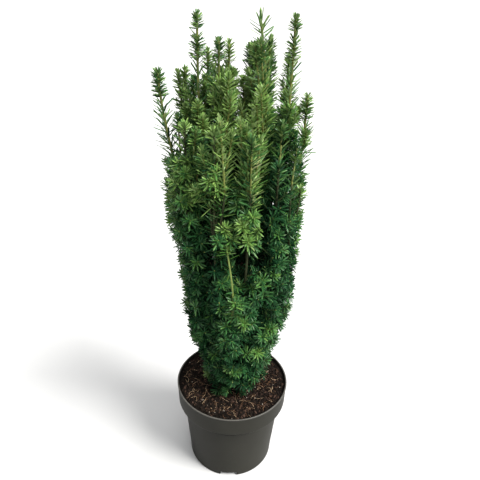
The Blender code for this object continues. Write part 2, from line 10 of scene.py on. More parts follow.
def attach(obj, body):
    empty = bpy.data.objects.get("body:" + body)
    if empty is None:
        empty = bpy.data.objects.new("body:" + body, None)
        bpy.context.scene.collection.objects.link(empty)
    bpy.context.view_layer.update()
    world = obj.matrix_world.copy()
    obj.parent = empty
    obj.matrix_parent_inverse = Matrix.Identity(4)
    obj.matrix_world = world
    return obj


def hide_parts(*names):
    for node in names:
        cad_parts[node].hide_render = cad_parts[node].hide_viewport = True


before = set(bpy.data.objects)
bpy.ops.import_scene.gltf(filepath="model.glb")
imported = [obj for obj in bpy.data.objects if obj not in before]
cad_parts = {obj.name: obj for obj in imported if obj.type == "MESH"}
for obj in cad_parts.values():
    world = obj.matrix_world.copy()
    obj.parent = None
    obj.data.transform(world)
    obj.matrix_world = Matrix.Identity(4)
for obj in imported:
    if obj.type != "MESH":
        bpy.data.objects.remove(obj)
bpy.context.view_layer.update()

# An upright English yew in its nursery pot. Metres, +Z up, -Y the front. The limbs and the masses
# of foliage follow the same rule as the solids do: boughs leave the trunk and spread like a vase,
# and each carries a mass whose stem grows on from it. Here the stems branch on into side shoots
# and finer ones, and every shoot bears its needles in a spiral.

SEED = 7
UP = np.array([0.0, 0.0, 1.0])
GOLDEN_ANGLE = math.radians(137.508)

# Camera: level with the plant's top, about 0.7 m in front, looking down at the pot
CAMERA_PLACE = (0.007, -0.722, 0.863)
CAMERA_DOWN_DEGREES = 26.1
CAMERA_ROLL_DEGREES = 1.84
CAMERA_LENS = 33.75
CAMERA_SENSOR = 36.0
CAMERA_NEAR = 0.01

# Lamps: name, bearing from +X towards +Y, elevation and width in degrees, strength, colour
SUNS = (
    ("key", -28.0, 47.0, 28.0, 8.0, (1.0, 0.985, 0.955)),
    ("front", -86.0, 42.0, 50.0, 1.3, (0.97, 0.99, 1.0)),
    ("top", 60.0, 80.0, 60.0, 2.6, (1.0, 1.0, 1.0)),
)
WORLD_COLOUR, WORLD_STRENGTH = (0.97, 0.985, 1.0, 1.0), 0.17

# Floor: it lies a little under the pot and bends up into a wall
FLOOR_COLOUR = (0.43, 0.43, 0.43, 1.0)
FLOOR_DROP = 0.0002
FLOOR_WIDTH, FLOOR_NEAR, FLOOR_FAR = 40.0, -12.0, 9.0
FLOOR_BEND, WALL_TOP = 3.0, 12.0

# Pot
POT_HEIGHT = 0.188
RIM_RADIUS = 0.114
BAND_DEPTH = 0.042
BAND_STEP = 0.007
BAND_FOOT_RADIUS = 0.1118
WALL_TOP_RADIUS = 0.100
FOOT_RADIUS = 0.0885
POT_WALL = 0.002
LIP_RADIUS = 0.0011
# Depth below the brim of the rim's top faces that take a lighter colour: a painted highlight
LIP_HIGHLIGHT_DEPTH = 0.0012
BAND_ROUNDING = 0.0022
STEP_ROUNDING = 0.0050
FOOT_ROUNDING = 0.0012
NOTCH_COUNT = 4
NOTCH_WIDTH = 0.034
NOTCH_HEIGHT = 0.009
NOTCH_DEPTH = 0.010
NOTCH_BEARING = 269.0
DRAIN_COUNT = 4
DRAIN_RADIUS = 0.005
DRAIN_RING_RADIUS = 0.055
POT_TURNS = 180
SHARP_DEGREES = 38

# Potting mix
SOIL_TOP = 0.178
SOIL_FOOT = 0.120
SOIL_EDGE_RISE = 0.005
SOIL_EDGE_RADIUS = 0.1112
SOIL_RINGS, SOIL_TURNS = 84, 240
LITTER_REACH = 0.106

# What lies on the mix: name, how many, seed, height over the mix, sizes, how flat, how dented, look
SOIL_BITS = (
    ("soil_crumbs", 3600, 11, 0.0003, (0.0010, 0.0022), (0.5, 1.0), 0.18, "peat_crumbs"),
    ("soil_clods", 900, 15, -0.0004, (0.0020, 0.0040), (0.5, 0.9), 0.16, "peat_crumbs"),
    ("soil_bark", 900, 21, 0.0008, (0.0010, 0.0034), (0.14, 0.40), 0.14, "bark_bits"),
    ("soil_grains", 46, 31, 0.0012, (0.0006, 0.0013), (0.6, 1.0), 0.10, "pale_grains"),
)

# Straws on the mix: name, how many, seed, lengths, radius, look
STRAWS = (
    ("soil_fibres", 110, 41, (0.008, 0.030), 0.00032, "tan_fibres"),
    ("soil_roots", 260, 51, (0.005, 0.018), 0.00026, "root_fibres"),
)
STRAW_STEPS = 5

# Trunk and boughs
TRUNK_FOOT = np.array([0.005, 0.0, SOIL_TOP])
TRUNK_TIP = np.array([0.013, -0.012, 0.470])
TRUNK_FOOT_RADIUS = 0.0105
TRUNK_TIP_RADIUS = 0.0045
ROOT_FLARE = 0.55
ROOT_FLARE_HEIGHT = 0.012
TRUNK_BEND = 0.004
BOUGH_FOOT_RADIUS = 0.0034
BOUGH_TIP_RADIUS = 0.0024
STEM_TIP_RADIUS = 0.0011
LEADER_TIP_RADIUS = 0.0018
TUFT_RISE = 0.008
TRUNK_SIDES, BOUGH_SIDES = 36, 14

# Half width of the crown at a few heights, from the soil up, and how far its middle is off to +X
CROWN_HEIGHTS = (0.18, 0.24, 0.28, 0.35, 0.48, 0.60, 0.76)
CROWN_REACHES = (0.068, 0.075, 0.081, 0.108, 0.111, 0.127, 0.140)
CROWN_SHIFTS = (0.005, 0.007, 0.005, 0.007, 0.002, -0.009, 0.000)
CROWN_DEPTH = 0.1195
CROWN_WIDTH = (-0.1345, 0.1305)
STEM_DEPTH, TIP_DEPTH = 0.019, 0.009

# Name, bearing in degrees, tip's distance from the axis, tip's height, and how soon it spreads
LEADERS = (
    ("left_outer", 194, 0.124, 0.798, 1.5),
    ("left_pair", 161, 0.093, 0.797, 2.0),
    ("left_tall", 189, 0.065, 0.875, 3.0),
    ("left_inner", 146, 0.063, 0.825, 3.0),
    ("middle_left", 212, 0.038, 0.842, 3.0),
    ("middle_back", 122, 0.036, 0.838, 3.0),
    ("middle_right", 60, 0.035, 0.835, 3.0),
    ("middle_tall", 312, 0.040, 0.868, 1.0),
    ("right_middle", 25, 0.045, 0.835, 3.0),
    ("right_inner", 29, 0.086, 0.818, 2.5),
    ("right_tall", 352, 0.077, 0.875, 4.4),
    ("right_outer", 5, 0.106, 0.765, 2.5),
)
FLANKS = (
    ("front_left", 248, 0.092, 0.728, 4.0),
    ("front_right", 283, 0.087, 0.712, 4.0),
    ("right_front", 315, 0.088, 0.672, 4.0),
    ("right_side", 350, 0.105, 0.622, 2.6),
    ("back_right", 51, 0.096, 0.710, 4.0),
    ("back", 90, 0.090, 0.740, 4.0),
    ("back_left", 129, 0.096, 0.715, 4.0),
    ("left_side", 170, 0.114, 0.640, 2.6),
    ("left_front", 213, 0.096, 0.728, 4.0),
)
SKIRT_COUNT = 7
SKIRT_BEARING = 265
SKIRT_REACH = 0.080
SKIRT_FOOT = 0.200
SKIRT_TOP = 0.400
SKIRT_SPREAD = 2.3
TRUNK_LEADER = "middle_tall"
TRUNK_LEADER_BOW = 0.023
OUTER_LEADERS = ("left_outer", "right_outer")
TALL_LEADER = 0.85
FLANK_LOWEST_FORK, FLANK_HIGHEST_FORK = 0.262, 0.318
LEADER_LOWEST_FORK, LEADER_HIGHEST_FORK = 0.335, 0.445
FLANK_START, LEADER_START = 0.335, 0.520

# How each kind of mass branches: gap between side shoots, the shares of the stem that they leave,
# their longest and shortest length, their angle from the stem in degrees, how far they turn up
BRANCHING = {
    "leader": (0.0085, 0.00, 0.86, 0.040, 0.018, 36, 0.6),
    "outer": (0.0100, 0.00, 0.48, 0.044, 0.026, 38, 0.5),
    "tall": (0.0090, 0.00, 0.60, 0.042, 0.022, 36, 0.6),
    "open": (0.0090, 0.00, 0.66, 0.040, 0.020, 36, 0.6),
    "flank": (0.0058, 0.00, 0.84, 0.050, 0.024, 58, 0.40),
    "skirt": (0.0054, 0.02, 0.97, 0.050, 0.028, 66, 0.26),
}
SHORTEST_SHOOT = 0.010
TRESPASS = 0.010
SPARE = (0.004, 0.015)
TWIG_RADII = (0.0013, 0.0009)

# How far a shoot is drawn in, step by step, until it fits, and needles likewise
SHOOT_SHARES = (1.0, 0.85, 0.72, 0.60, 0.50, 0.40, 0.32)
NEEDLE_SHARES = (0.62, 0.80, 1.0)

# Finer shoots: how long the shoot is that bears one, where on it, their length and their angle
FINER_FROM, FINER_PLACE, FINER_SHARE, FINER_DEGREES = 0.020, 0.30, 0.62, (40, 60)

# Open places: grooves between masses (low, high, bearing low down, bearing high up, half width,
# how near the axis they start), and hollows in front (centre, half sizes)
GROOVES = (
    (0.360, 0.690, 306.0, 292.0, 0.0080, 0.066),
    (0.300, 0.580, 236.0, 244.0, 0.0080, 0.074),
)
HOLLOWS = (
    ((0.0125, -0.096, 0.500), (0.013, 0.034, 0.034)),
    ((-0.0350, -0.098, 0.592), (0.011, 0.026, 0.026)),
    ((0.003, -0.068, 0.196), (0.011, 0.026, 0.018)),
    ((-0.0195, -0.112, 0.668), (0.010, 0.024, 0.036)),
    ((0.0205, -0.114, 0.650), (0.010, 0.024, 0.045)),
)

# Openings right through the crown, as seen from the camera: a point on the way, and half the width
SIGHTS = (
    ((0.0562, -0.0500, 0.6014), 0.0042),
    ((0.0709, -0.0500, 0.5967), 0.0026),
)

# A needle's corners as places along, across and up: the foot, two rows of left edge, rib and right
# edge, the tip; then its faces
NEEDLE_CORNERS = np.array([
    (0.0, 0.0, 0.05),
    (0.24, -1.0, 0.0), (0.24, 0.0, 0.24), (0.24, 1.0, 0.0),
    (0.82, -0.88, 0.0), (0.82, 0.0, 0.22), (0.82, 0.88, 0.0),
    (1.0, 0.0, 0.0),
])
NEEDLE_UPPER = np.array([
    (0, 2, 1), (0, 3, 2), (1, 2, 5), (1, 5, 4), (2, 3, 6), (2, 6, 5), (4, 5, 7), (5, 6, 7),
])
NEEDLE_UNDER = np.array([(0, 1, 3), (1, 4, 3), (3, 4, 6), (4, 7, 6)])
MOST_IN_A_PIECE = 15000
NEEDLE_WIDTH = 0.0024
STOUT_WIDENS, SLIM_WIDENS, HEAD_WIDENS = 1.18, 1.04, 1.05
SLIM_NEEDLED = ("side", "skirt", "pale_side")
HEAD_LENGTH, HEADS_ABOVE = 0.080, 0.70

# A bud's profile: place along it and radius, as shares of its size
BUD_PROFILE = ((-0.4, 0.35), (0.2, 0.66), (1.0, 0.60), (1.7, 0.10))

# Where needles sit, for each habit in bands from the tip down, in millimetres and degrees: start,
# end and gap along the shoot, length at the start and the end, angle from the shoot at the start
# and the end, and how much lighter than the shoot's own tone. 1000 reaches to any shoot's foot.
HABITS = {
    "leader": (
        (0, 5, 0.34, 9.5, 11.5, 22, 56, 0.8), (5, 28, 0.39, 11.5, 13.5, 56, 72, 0.8),
        (30, 50, 2.99, 18, 23, 46, 52, 0.4), (50, 1000, 1.84, 24, 25, 50, 62, 0.1),
    ),
    "outer": (
        (0, 5, 0.3, 10.6, 12.9, 24, 58, 0.8), (5, 34, 0.3, 12.9, 15.1, 58, 74, 0.7),
        (36, 56, 2.4, 20, 26, 46, 50, 0.4), (56, 1000, 1.35, 27.5, 28.5, 48, 56, 0.3),
    ),
    "tall": (
        (0, 5, 0.31, 9.5, 11.5, 22, 56, 0.8), (5, 18, 0.34, 11.5, 12.5, 56, 74, 0.8),
        (18, 29, 5.25, 15, 18, 45, 50, 0.4), (29, 35, 0.36, 12.5, 14.5, 34, 62, 0.8),
        (35, 58, 0.38, 14.5, 15.5, 62, 76, 0.6), (58, 1000, 2.42, 22.5, 26, 44, 56, 0.1),
    ),
    "open": (
        (0, 4, 0.8, 20, 21.5, 6, 30, -0.7), (4, 18, 0.9, 20.5, 22.5, 38, 60, -0.7),
        (18, 50, 2.8, 22, 24, 50, 54, 0.2), (50, 1000, 2.2, 23, 25, 46, 60, 0.1),
    ),
    "club": (
        (0, 5, 0.33, 9.5, 11.8, 20, 54, 0.8), (5, 25, 0.4, 11.8, 14, 54, 72, 0.8),
        (26, 1000, 1.87, 19, 23.5, 46, 58, 0.2),
    ),
    "bright_club": (
        (0, 6, 0.45, 11, 13.5, 12, 42, 1.6), (6, 24, 0.63, 13.5, 16.5, 44, 68, 1.4),
        (24, 1000, 1.87, 19, 23.5, 46, 58, 0.7),
    ),
    "slender": (
        (0, 14, 0.61, 11.5, 16, 30, 62, 0.6), (14, 1000, 1.94, 19, 23, 48, 60, 0.0),
    ),
    "flank": (
        (0, 11, 0.38, 12.5, 17.5, 24, 76, 1.1), (11, 1000, 1.87, 21, 24, 54, 64, 0.2),
    ),
    "bright": (
        (0, 6, 0.48, 11, 13.5, 14, 46, 2.1), (6, 18, 0.57, 13.5, 17, 46, 72, 1.6),
        (18, 100, 2, 21, 25, 44, 52, 1.6), (100, 150, 2.47, 23, 24, 54, 62, 0.2),
    ),
    "pale_side": (
        (0, 13, 0.41, 12.5, 17, 20, 74, 2.0), (13, 100, 1.36, 20.5, 23, 50, 62, 1.0),
        (100, 125, 2.06, 21, 22, 60, 70, 0.3),
    ),
    "bare": (
        (0, 12, 0.48, 13, 18, 34, 80, 1.2), (12, 22, 2.16, 19, 21, 60, 66, 0.6),
        (78, 1000, 6, 16, 19, 60, 66, 0.2),
    ),
    "skirt": (
        (0, 9, 0.34, 13, 17.5, 28, 88, 0.9), (9, 1000, 2.13, 18.5, 21, 60, 72, 0.0),
    ),
    "side": (
        (0, 9, 0.33, 13, 17.5, 28, 92, 0.9), (9, 20, 1.28, 17, 18.5, 70, 78, 0.3),
        (20, 1000, 2.5, 18.5, 21, 62, 72, 0.0),
    ),
}

# Shoots that the photo shows one by one: mass, then for each shoot the share of the mass's stem
# where it leaves, its habit, how much lighter it is than the rest, and the points that it runs to, in
# millimetres. Those of -4.0 are sprays deep in the crown painted dark as shade.
DRAWN_SHOOTS = (
    ("left_pair", (0.45, "club", 0.0, (-98.5, 28, 785))),
    ("left_tall", (0.4, "bright_club", -0.8, (-80, 0, 762)), (0.34, "club", -0.2, (-85, -4, 738))),
    ("left_inner", (0.4, "club", 0.0, (-44, 20, 775))),
    ("left_front", (0.55, "club", -1.4, (-93, -30, 728))),
    ("left_side", (0.6, "side", 0.2, (-119, 0, 612)), (0.4, "side", -0.3, (-117, 6, 570))),
    ("middle_left", (0.55, "bright_club", -0.4, (-28.2, -30, 772))),
    ("middle_back", (0.55, "club", 0.4, (-13.4, 0, 793))),
    ("middle_tall", (0.7, "bright_club", 0.2, (43, 0, 836)), (0.55, "bright_club", 0.0, (12.5, -10, 792))),
    ("right_middle", (0.5, "club", 0.5, (28, 12, 834)), (0.42, "bright_club", -0.3, (43, 2, 815))),
    ("middle_right", (0.4, "club", 0.2, (12.5, 20, 826)), (0.3, "club", 0.2, (4, 12, 780))),
    ("right_outer", (0.62, "club", 0.8, (107.7, 0, 705)), (0.58, "club", -0.4, (84.1, -20, 705.5))),
    ("right_side", (0.4, "club", -0.3, (82.4, -60, 602.8), (90.8, -30, 687.8))),
    ("right_inner", (0.55, "club", 0.2, (93.5, 6, 738))),
    ("right_front", (0.8, "club", -0.4, (66, -30, 722))),
    ("front_left", (0.5, "bright", 0.3, (-17.3, -92, 620), (-21, -89, 673), (-27, -76, 733)),
        (0.5, "bright", -0.1, (-40.7, -82, 614), (-46.4, -83, 659), (-52, -82, 692)),
        (0.7, "side", 0.9, (-61.7, -88, 632))),
    ("skirt_1", (0.8, "bare", 0.6, (-0.4, -98, 440), (-4.5, -107, 491), (-13.4, -104, 546)),
        (0.85, "side", 0.9, (2.2, -106, 446)), (0.3, "side", 1.1, (7.5, -70, 266))),
    ("skirt_2", (0.5, "side", 1.0, (44, -74, 320))),
    ("front_left", (0.1, "side", 0.6, (-24.1, -102, 442))),
    ("front_right", (0.12, "side", 0.7, (18.3, -99, 400)),
        (0.45, "pale_side", 0.5, (21, -94, 586), (20.2, -94, 638), (19.6, -82, 708))),
    ("front_left", (0.6, "bright", 0.0, (-8, -78, 716)), (0.66, "bright", 0.2, (-30, -80, 712))),
    ("front_right", (0.66, "bright", 0.2, (11, -68, 722)), (0.64, "bright", 0.0, (33, -62, 704)),
        (0.5, "bright", 0.0, (14, -85, 694)), (0.62, "bright", 0.2, (19.5, -58, 738)),
        (0.55, "bright", 0.0, (2, -70, 731)), (0.58, "side", 1.0, (9, -105, 585))),
    ("right_front", (0.25, "side", 1.2, (44.6, -92, 484))),
    ("left_pair", (0.4, "club", 0.0, (-70.9, 0, 779.6))),
    ("left_inner", (0.36, "club", -0.3, (-56.6, 10, 770.1))),
    ("middle_tall", (0.62, "club", 0.8, (27.2, -45, 834.7)), (0.58, "club", 0.4, (19.2, -45, 829.4))),
    ("middle_left", (0.35, "bright_club", 0.2, (-7.3, -30, 762.5))),
    ("middle_tall", (0.32, "bright_club", 0.4, (0.6, -35, 747.7))),
    ("right_middle", (0.3, "bright_club", 0.0, (34.6, -20, 789.2))),
    ("back", (0.36, "skirt", -4.0, (-23.8, 10, 507.3)), (0.4, "skirt", -4.0, (-0.4, 10, 510.2))),
    ("back_right", (0.34, "skirt", -4.0, (29.8, 0, 475.6))),
    ("back_left", (0.34, "skirt", -4.0, (-54.7, 10, 483.8))),
    ("back_right", (0.4, "skirt", -4.0, (98.3, 20, 506.8))),
    ("left_tall", (0.22, "club", 0.2, (-62.2, -30, 747.8)), (0.16, "club", 0.4, (-54, -40, 729.4))),
    ("left_front", (0.62, "club", 0.3, (-63.2, -55, 713.2)), (0.55, "club", 0.3, (-52.5, -60, 696.9))),
    ("middle_left", (0.42, "bright_club", 0.3, (-16.2, -40, 787.1)),
        (0.3, "bright_club", 0.5, (-12.6, -50, 763.8))),
    ("middle_tall", (0.4, "bright_club", 0.5, (29.8, -60, 774.7)),
        (0.3, "bright_club", 0.7, (23.5, -60, 758.2))),
    ("right_middle", (0.26, "bright_club", 0.0, (39.5, -50, 758.5))),
    ("front_left", (0.52, "side", 0.8, (-14.9, -98, 576.9)), (0.5, "side", 0.5, (-2.3, -100, 559.7))),
    ("back_left", (0.4, "skirt", -4.0, (-54.5, 10, 522.2))),
    ("back_right", (0.4, "skirt", -4.0, (43.9, 10, 527.6)), (0.34, "skirt", -4.0, (54, 10, 473.2))),
    ("back", (0.38, "skirt", -4.0, (8.1, 0, 470.7)), (0.36, "skirt", -4.0, (6.1, -25, 490.2))),
    ("back_right", (0.36, "skirt", -4.0, (52.5, -10, 452.9))),
    ("skirt_7", (0.08, "skirt", -0.6, (-30, -43, 190))),
    ("skirt_1", (0.06, "skirt", -0.6, (21, -44, 191))),
)
DRAWN_LEAN = np.array([0.45, 0.45, 0.10])

# How much lighter each mass is, partly as painted light and shade, the masses in front painted lighter as
# lit, and what varies, brightens or darkens its needles
MASS_TONES = {
    "right_inner": -1.0, "left_side": 0.3, "left_front": 0.1, "middle_tall": 0.5,
    "right_side": 0.3, "left_outer": -0.6, "left_pair": -0.5, "right_outer": -0.6,
    "middle_right": 1.3, "right_middle": 0.9, "middle_left": 0.5,
}
BRIGHT_MASSES = ("front_left", "front_right")
SHOOT_TONE_VARIES, NEEDLE_TONE_VARIES = 0.70, 0.6
BRIGHTEST_SHOOT = 5.2
# Darkening with age, which also stands for painted shade deep along the shoots
AGE_AND_SHADE_DARKEN = 2.0

# Heights over which the painted light rises or falls: low down, up the sides, in the top, at the tallest
# tips;
# and over which needles get more even with age, darkened less by age and painted shade
LOW_RISE, SIDE_RISE, TOP_RISE, TIP_FALL = (0.20, 0.36), (0.44, 0.66), (0.66, 0.76), (0.79, 0.85)
EVEN_FROM = (0.56, 0.70)

# Distance from the tip over which needles grow old and darken into painted shade, on a stem and on a twig
DARKENING_ON_STEM, DARKENING_ON_TWIG = (0.06, 0.18), (0.006, 0.036)

# Pale needles on the right of one bright spray: their tone and heights
PALE = 6.2
PALE_FROM, PALE_TO = 0.590, 0.700

# Height above which stems of each kind are olive green, and of the other kinds; flank and skirt stems stay
# dark all along, as painted shade
OLIVE_FROM = {"flank": 9.0, "skirt": 9.0, "outer": 0.50, "drawn": 0.63}
OLIVE_FROM_ELSE = 0.60

# Pieces of twigs: sides of their tubes, look
TWIGS = {
    "twigs_fine": (4, "green_twigs"),
    "stems_olive": (9, "olive_stems"),
    "stems_brown_and_shaded": (9, "brown_and_shaded_stems"),
    "stem_young": (9, "young_stem"),
}

# Places of the crown painted lighter or darker, as light and as shade in the hollows between masses:
# bearing and its spread in degrees, heights, how much lighter
PLACES = (
    (226, 20, 0.24, 0.60, -1.0),
    (272, 12, 0.46, 0.66, 0.3),
    (286, 6, 0.56, 0.68, 0.6),
    (301, 8, 0.42, 0.70, -1.3),
    (354, 9, 0.42, 0.74, 0.8),
    (186, 10, 0.34, 0.66, 0.7),
    (318, 13, 0.40, 0.64, -1.2),
    (337, 11, 0.30, 0.66, -1.6),
    (308, 16, 0.17, 0.27, -1.0),
    (250, 9, 0.40, 0.60, -1.4),
    (218, 14, 0.66, 0.74, 0.9),
    (284, 22, 0.17, 0.40, -0.9),
    (18, 16, 0.26, 0.62, -1.0),
    (70, 12, 0.26, 0.62, -1.0),
    (140, 14, 0.26, 0.62, -1.2),
)

# Needle colours from the painted shade deep in the crown to the young tips: upper side, then underside
GREENS = (
    ((0.003, 0.015, 0.006), (0.008, 0.024, 0.011)),
    ((0.007, 0.032, 0.0115), (0.018, 0.048, 0.019)),
    ((0.015, 0.060, 0.018), (0.038, 0.088, 0.031)),
    ((0.030, 0.095, 0.025), (0.077, 0.148, 0.050)),
    ((0.056, 0.140, 0.028), (0.116, 0.196, 0.060)),
    ((0.100, 0.196, 0.040), (0.166, 0.254, 0.084)),
    ((0.160, 0.264, 0.062), (0.232, 0.320, 0.120)),
    ((0.340, 0.370, 0.150), (0.380, 0.410, 0.200)),
)
# Gloss of each green: low in the darkest, so that the painted shade stays dark
GLOSS = (0.03, 0.06, 0.12, 0.20, 0.26, 0.28, 0.28, 0.28)
UNDER_GLOSS = 0.45

# Looks: colour, roughness, scale and spread of the mottling, the bump's strength and depth, gloss
LOOKS = {
    # The lip's pale colour is a painted highlight along the rim's top
    "lip_painted_highlight": ((0.062, 0.059, 0.052), 0.50, 300.0, 0.25, 0.2, 0.0002, 0.25),
    "peat": ((0.0038, 0.0029, 0.0023), 0.95, 420.0, 0.60, 1.0, 0.0012, 0.05),
    "peat_crumbs": ((0.0085, 0.0060, 0.0045), 0.92, 500.0, 0.60, 0.8, 0.0005, 0.08),
    "bark_bits": ((0.0380, 0.0215, 0.0150), 0.85, 380.0, 0.60, 0.5, 0.0004, 0.12),
    "tan_fibres": ((0.330, 0.230, 0.140), 0.80, 300.0, 0.35, 0.0, 0.0, 0.25),
    "root_fibres": ((0.120, 0.062, 0.030), 0.85, 300.0, 0.35, 0.0, 0.0, 0.2),
    "pale_grains": ((0.380, 0.340, 0.280), 0.85, 500.0, 0.20, 0.4, 0.0003, 0.3),
    "yew_bark": ((0.050, 0.030, 0.018), 0.82, 240.0, 0.50, 0.7, 0.0006, 0.25),
    "green_twigs": ((0.050, 0.085, 0.020), 0.50, 260.0, 0.22, 0.3, 0.0002, 0.3),
    "olive_stems": ((0.125, 0.138, 0.034), 0.50, 240.0, 0.30, 0.4, 0.0003, 0.3),
    # Brown bark low on the stems, and painted shade on the stems of flanks and skirts
    "brown_and_shaded_stems": ((0.026, 0.032, 0.012), 0.75, 240.0, 0.40, 0.6, 0.0004, 0.2),
    "young_stem": ((0.120, 0.160, 0.036), 0.50, 240.0, 0.20, 0.3, 0.0002, 0.3),
    "buds": ((0.190, 0.230, 0.060), 0.60, 400.0, 0.25, 0.0, 0.0, 0.3),
}
LENGTHWISE = ("yew_bark", "green_twigs", "olive_stems", "brown_and_shaded_stems", "young_stem")
POT_COLOURS = ((0.0150, 0.0146, 0.0112), (0.0205, 0.0199, 0.0156))


# Small helpers


def unit(vectors):
    return vectors / np.maximum(np.linalg.norm(vectors, axis=-1, keepdims=True), 1e-9)


def smooth_step(value, low, high):
    share = np.clip((value - low) / (high - low), 0.0, 1.0)
    return share * share * (3.0 - 2.0 * share)


def interpolated(at, known, rows):
    """Rows of values that are given at known places, at places between them."""
    return np.stack([np.interp(at, known, column) for column in rows.T], -1)


def turned(first, second, angle):
    """Directions at an angle from first towards second."""
    return first * np.cos(angle)[..., None] + second * np.sin(angle)[..., None]


def around(count):
    return np.arange(count) * math.tau / count


def ripple(points, scale, seed, octaves=3, waves=5):
    """Smooth noise from about -1 to 1 at points, from crossed sine waves."""
    rng = np.random.default_rng(seed)
    total = np.zeros(len(points))
    for octave in range(octaves):
        wave = np.zeros(len(points))
        for _ in range(waves):
            direction = unit(rng.normal(size=3)) * scale * 2.0**octave
            wave += np.sin(points @ direction + rng.uniform(0.0, math.tau))
        total += wave / 3.0 / 2.0**octave
    return total


def placed(name, data):
    obj = bpy.data.objects.new(name, data)
    bpy.context.scene.collection.objects.link(obj)
    return obj


def mesh_piece(name, verts, faces, materials, which=None, smooth=True):
    """A mesh from arrays: faces is a list of arrays of corner numbers, one for each face size."""
    corners = np.concatenate([f.reshape(-1) for f in faces])
    sizes = np.concatenate([np.full(len(f), f.shape[1]) for f in faces])
    starts = np.concatenate([[0], np.cumsum(sizes)[:-1]])
    mesh = bpy.data.meshes.new(name)
    mesh.vertices.add(len(verts))
    mesh.vertices.foreach_set("co", verts.astype(np.float32).reshape(-1))
    mesh.loops.add(len(corners))
    mesh.loops.foreach_set("vertex_index", corners.astype(np.int32))
    mesh.polygons.add(len(sizes))
    mesh.polygons.foreach_set("loop_start", starts.astype(np.int32))
    mesh.polygons.foreach_set("loop_total", sizes.astype(np.int32))
    for material in materials:
        mesh.materials.append(material)
    if which is not None:
        mesh.polygons.foreach_set("material_index", which.astype(np.int32))
    mesh.polygons.foreach_set("use_smooth", np.full(len(sizes), smooth))
    mesh.update()
    mesh.validate()
    return placed(name, mesh)


def skin(rings, sides, base=0):
    """Faces between rings of corners, and fans to the two corners that follow the last ring."""
    step = np.arange(sides)
    after = (step + 1) % sides
    rows = base + np.arange(rings - 1)[:, None] * sides
    quads = np.stack([rows + step, rows + after, rows + sides + after, rows + sides + step], -1)
    foot = base + rings * sides
    last = foot - sides
    first_fan = np.stack([np.full(sides, foot), base + after, base + step], -1)
    last_fan = np.stack([np.full(sides, foot + 1), last + step, last + after], -1)
    return quads.reshape(-1, 4), np.concatenate([first_fan, last_fan])


def tubes(name, runs, sides, material):
    """Tapering tubes along runs of points, each with its radii, in one mesh, their ends pointed shut."""
    verts, faces, base = [], [], 0
    for path, radii in runs:
        directions = unit(np.gradient(path, axis=0))
        first, second = square_to(directions)
        ring = turned(first[:, None], second[:, None], around(sides))
        ring = path[:, None] + ring * np.asarray(radii)[:, None, None]
        tip = path[-1] + directions[-1] * radii[-1] * 0.8
        verts += [ring.reshape(-1, 3), [path[0]], [tip]]
        faces.append(skin(len(path), sides, base))
        base += len(path) * sides + 2
    faces = [np.concatenate(some) for some in zip(*faces)]
    return mesh_piece(name, np.concatenate(verts), faces, [material])


def stands_for(piece, nodes=()):
    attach(piece, "root")
    if nodes:
        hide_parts(*nodes)


# Materials


class Nodes:
    """A material's node tree, with short calls for the nodes used here."""

    def __init__(self, name, roughness, gloss):
        self.material = bpy.data.materials.new(name)
        self.material.use_nodes = True
        self.tree = self.material.node_tree
        self.shader = self.tree.nodes["Principled BSDF"]
        self.shader.inputs["Roughness"].default_value = roughness
        self.shader.inputs["Specular IOR Level"].default_value = gloss

    def add(self, kind, **inputs):
        node = self.tree.nodes.new(kind)
        for key, value in inputs.items():
            node.inputs[key].default_value = value
        return node

    def link(self, out, into):
        self.tree.links.new(out, into)

    def noise(self, scale, detail=4.0, stretch=(1.0, 1.0, 1.0)):
        place = self.add("ShaderNodeTexCoord")
        mapping = self.add("ShaderNodeMapping", Scale=stretch)
        noise = self.add("ShaderNodeTexNoise", Scale=scale, Detail=detail)
        self.link(place.outputs["Object"], mapping.inputs["Vector"])
        self.link(mapping.outputs["Vector"], noise.inputs["Vector"])
        return noise.outputs["Fac"]

    def colour(self, value, colours):
        """The base colour runs through the colours as the value rises."""
        ramp = self.add("ShaderNodeValToRGB")
        elements = ramp.color_ramp.elements
        while len(elements) < len(colours):
            elements.new(0.5)
        for element, place, colour in zip(elements, np.linspace(0.30, 0.70, len(colours)), colours):
            element.position = place
            element.color = (*colour, 1.0)
        self.link(value, ramp.inputs["Fac"])
        self.link(ramp.outputs["Color"], self.shader.inputs["Base Color"])

    def bump(self, height, strength, distance):
        bump = self.add("ShaderNodeBump", Strength=strength, Distance=distance)
        self.link(height, bump.inputs["Height"])
        self.link(bump.outputs["Normal"], self.shader.inputs["Normal"])


def mottled(name, colour, roughness, scale, spread, bump, distance, gloss):
    """A colour that wavers by a share of itself, over a bump of the same noise."""
    nodes = Nodes(name, roughness, gloss)
    noise = nodes.noise(scale, stretch=(1.0, 1.0, 0.3) if name in LENGTHWISE else (1.0, 1.0, 1.0))
    nodes.colour(noise, [[c * factor for c in colour] for factor in (1.0 - spread, 1.0, 1.0 + spread)])
    if bump:
        nodes.bump(noise, bump, distance)
    return nodes.material


@functools.cache
def look(name):
    return mottled(name, *LOOKS[name])


def make_greens():
    return [
        (
            mottled(f"needle_upper_{k}", upper, 0.40, 260.0, 0.12, 0.0, 0.0, gloss),
            mottled(f"needle_under_{k}", under, 0.60, 260.0, 0.10, 0.0, 0.0, gloss * UNDER_GLOSS),
        )
        for k, ((upper, under), gloss) in enumerate(zip(GREENS, GLOSS))
    ]


# Camera, lights, floor


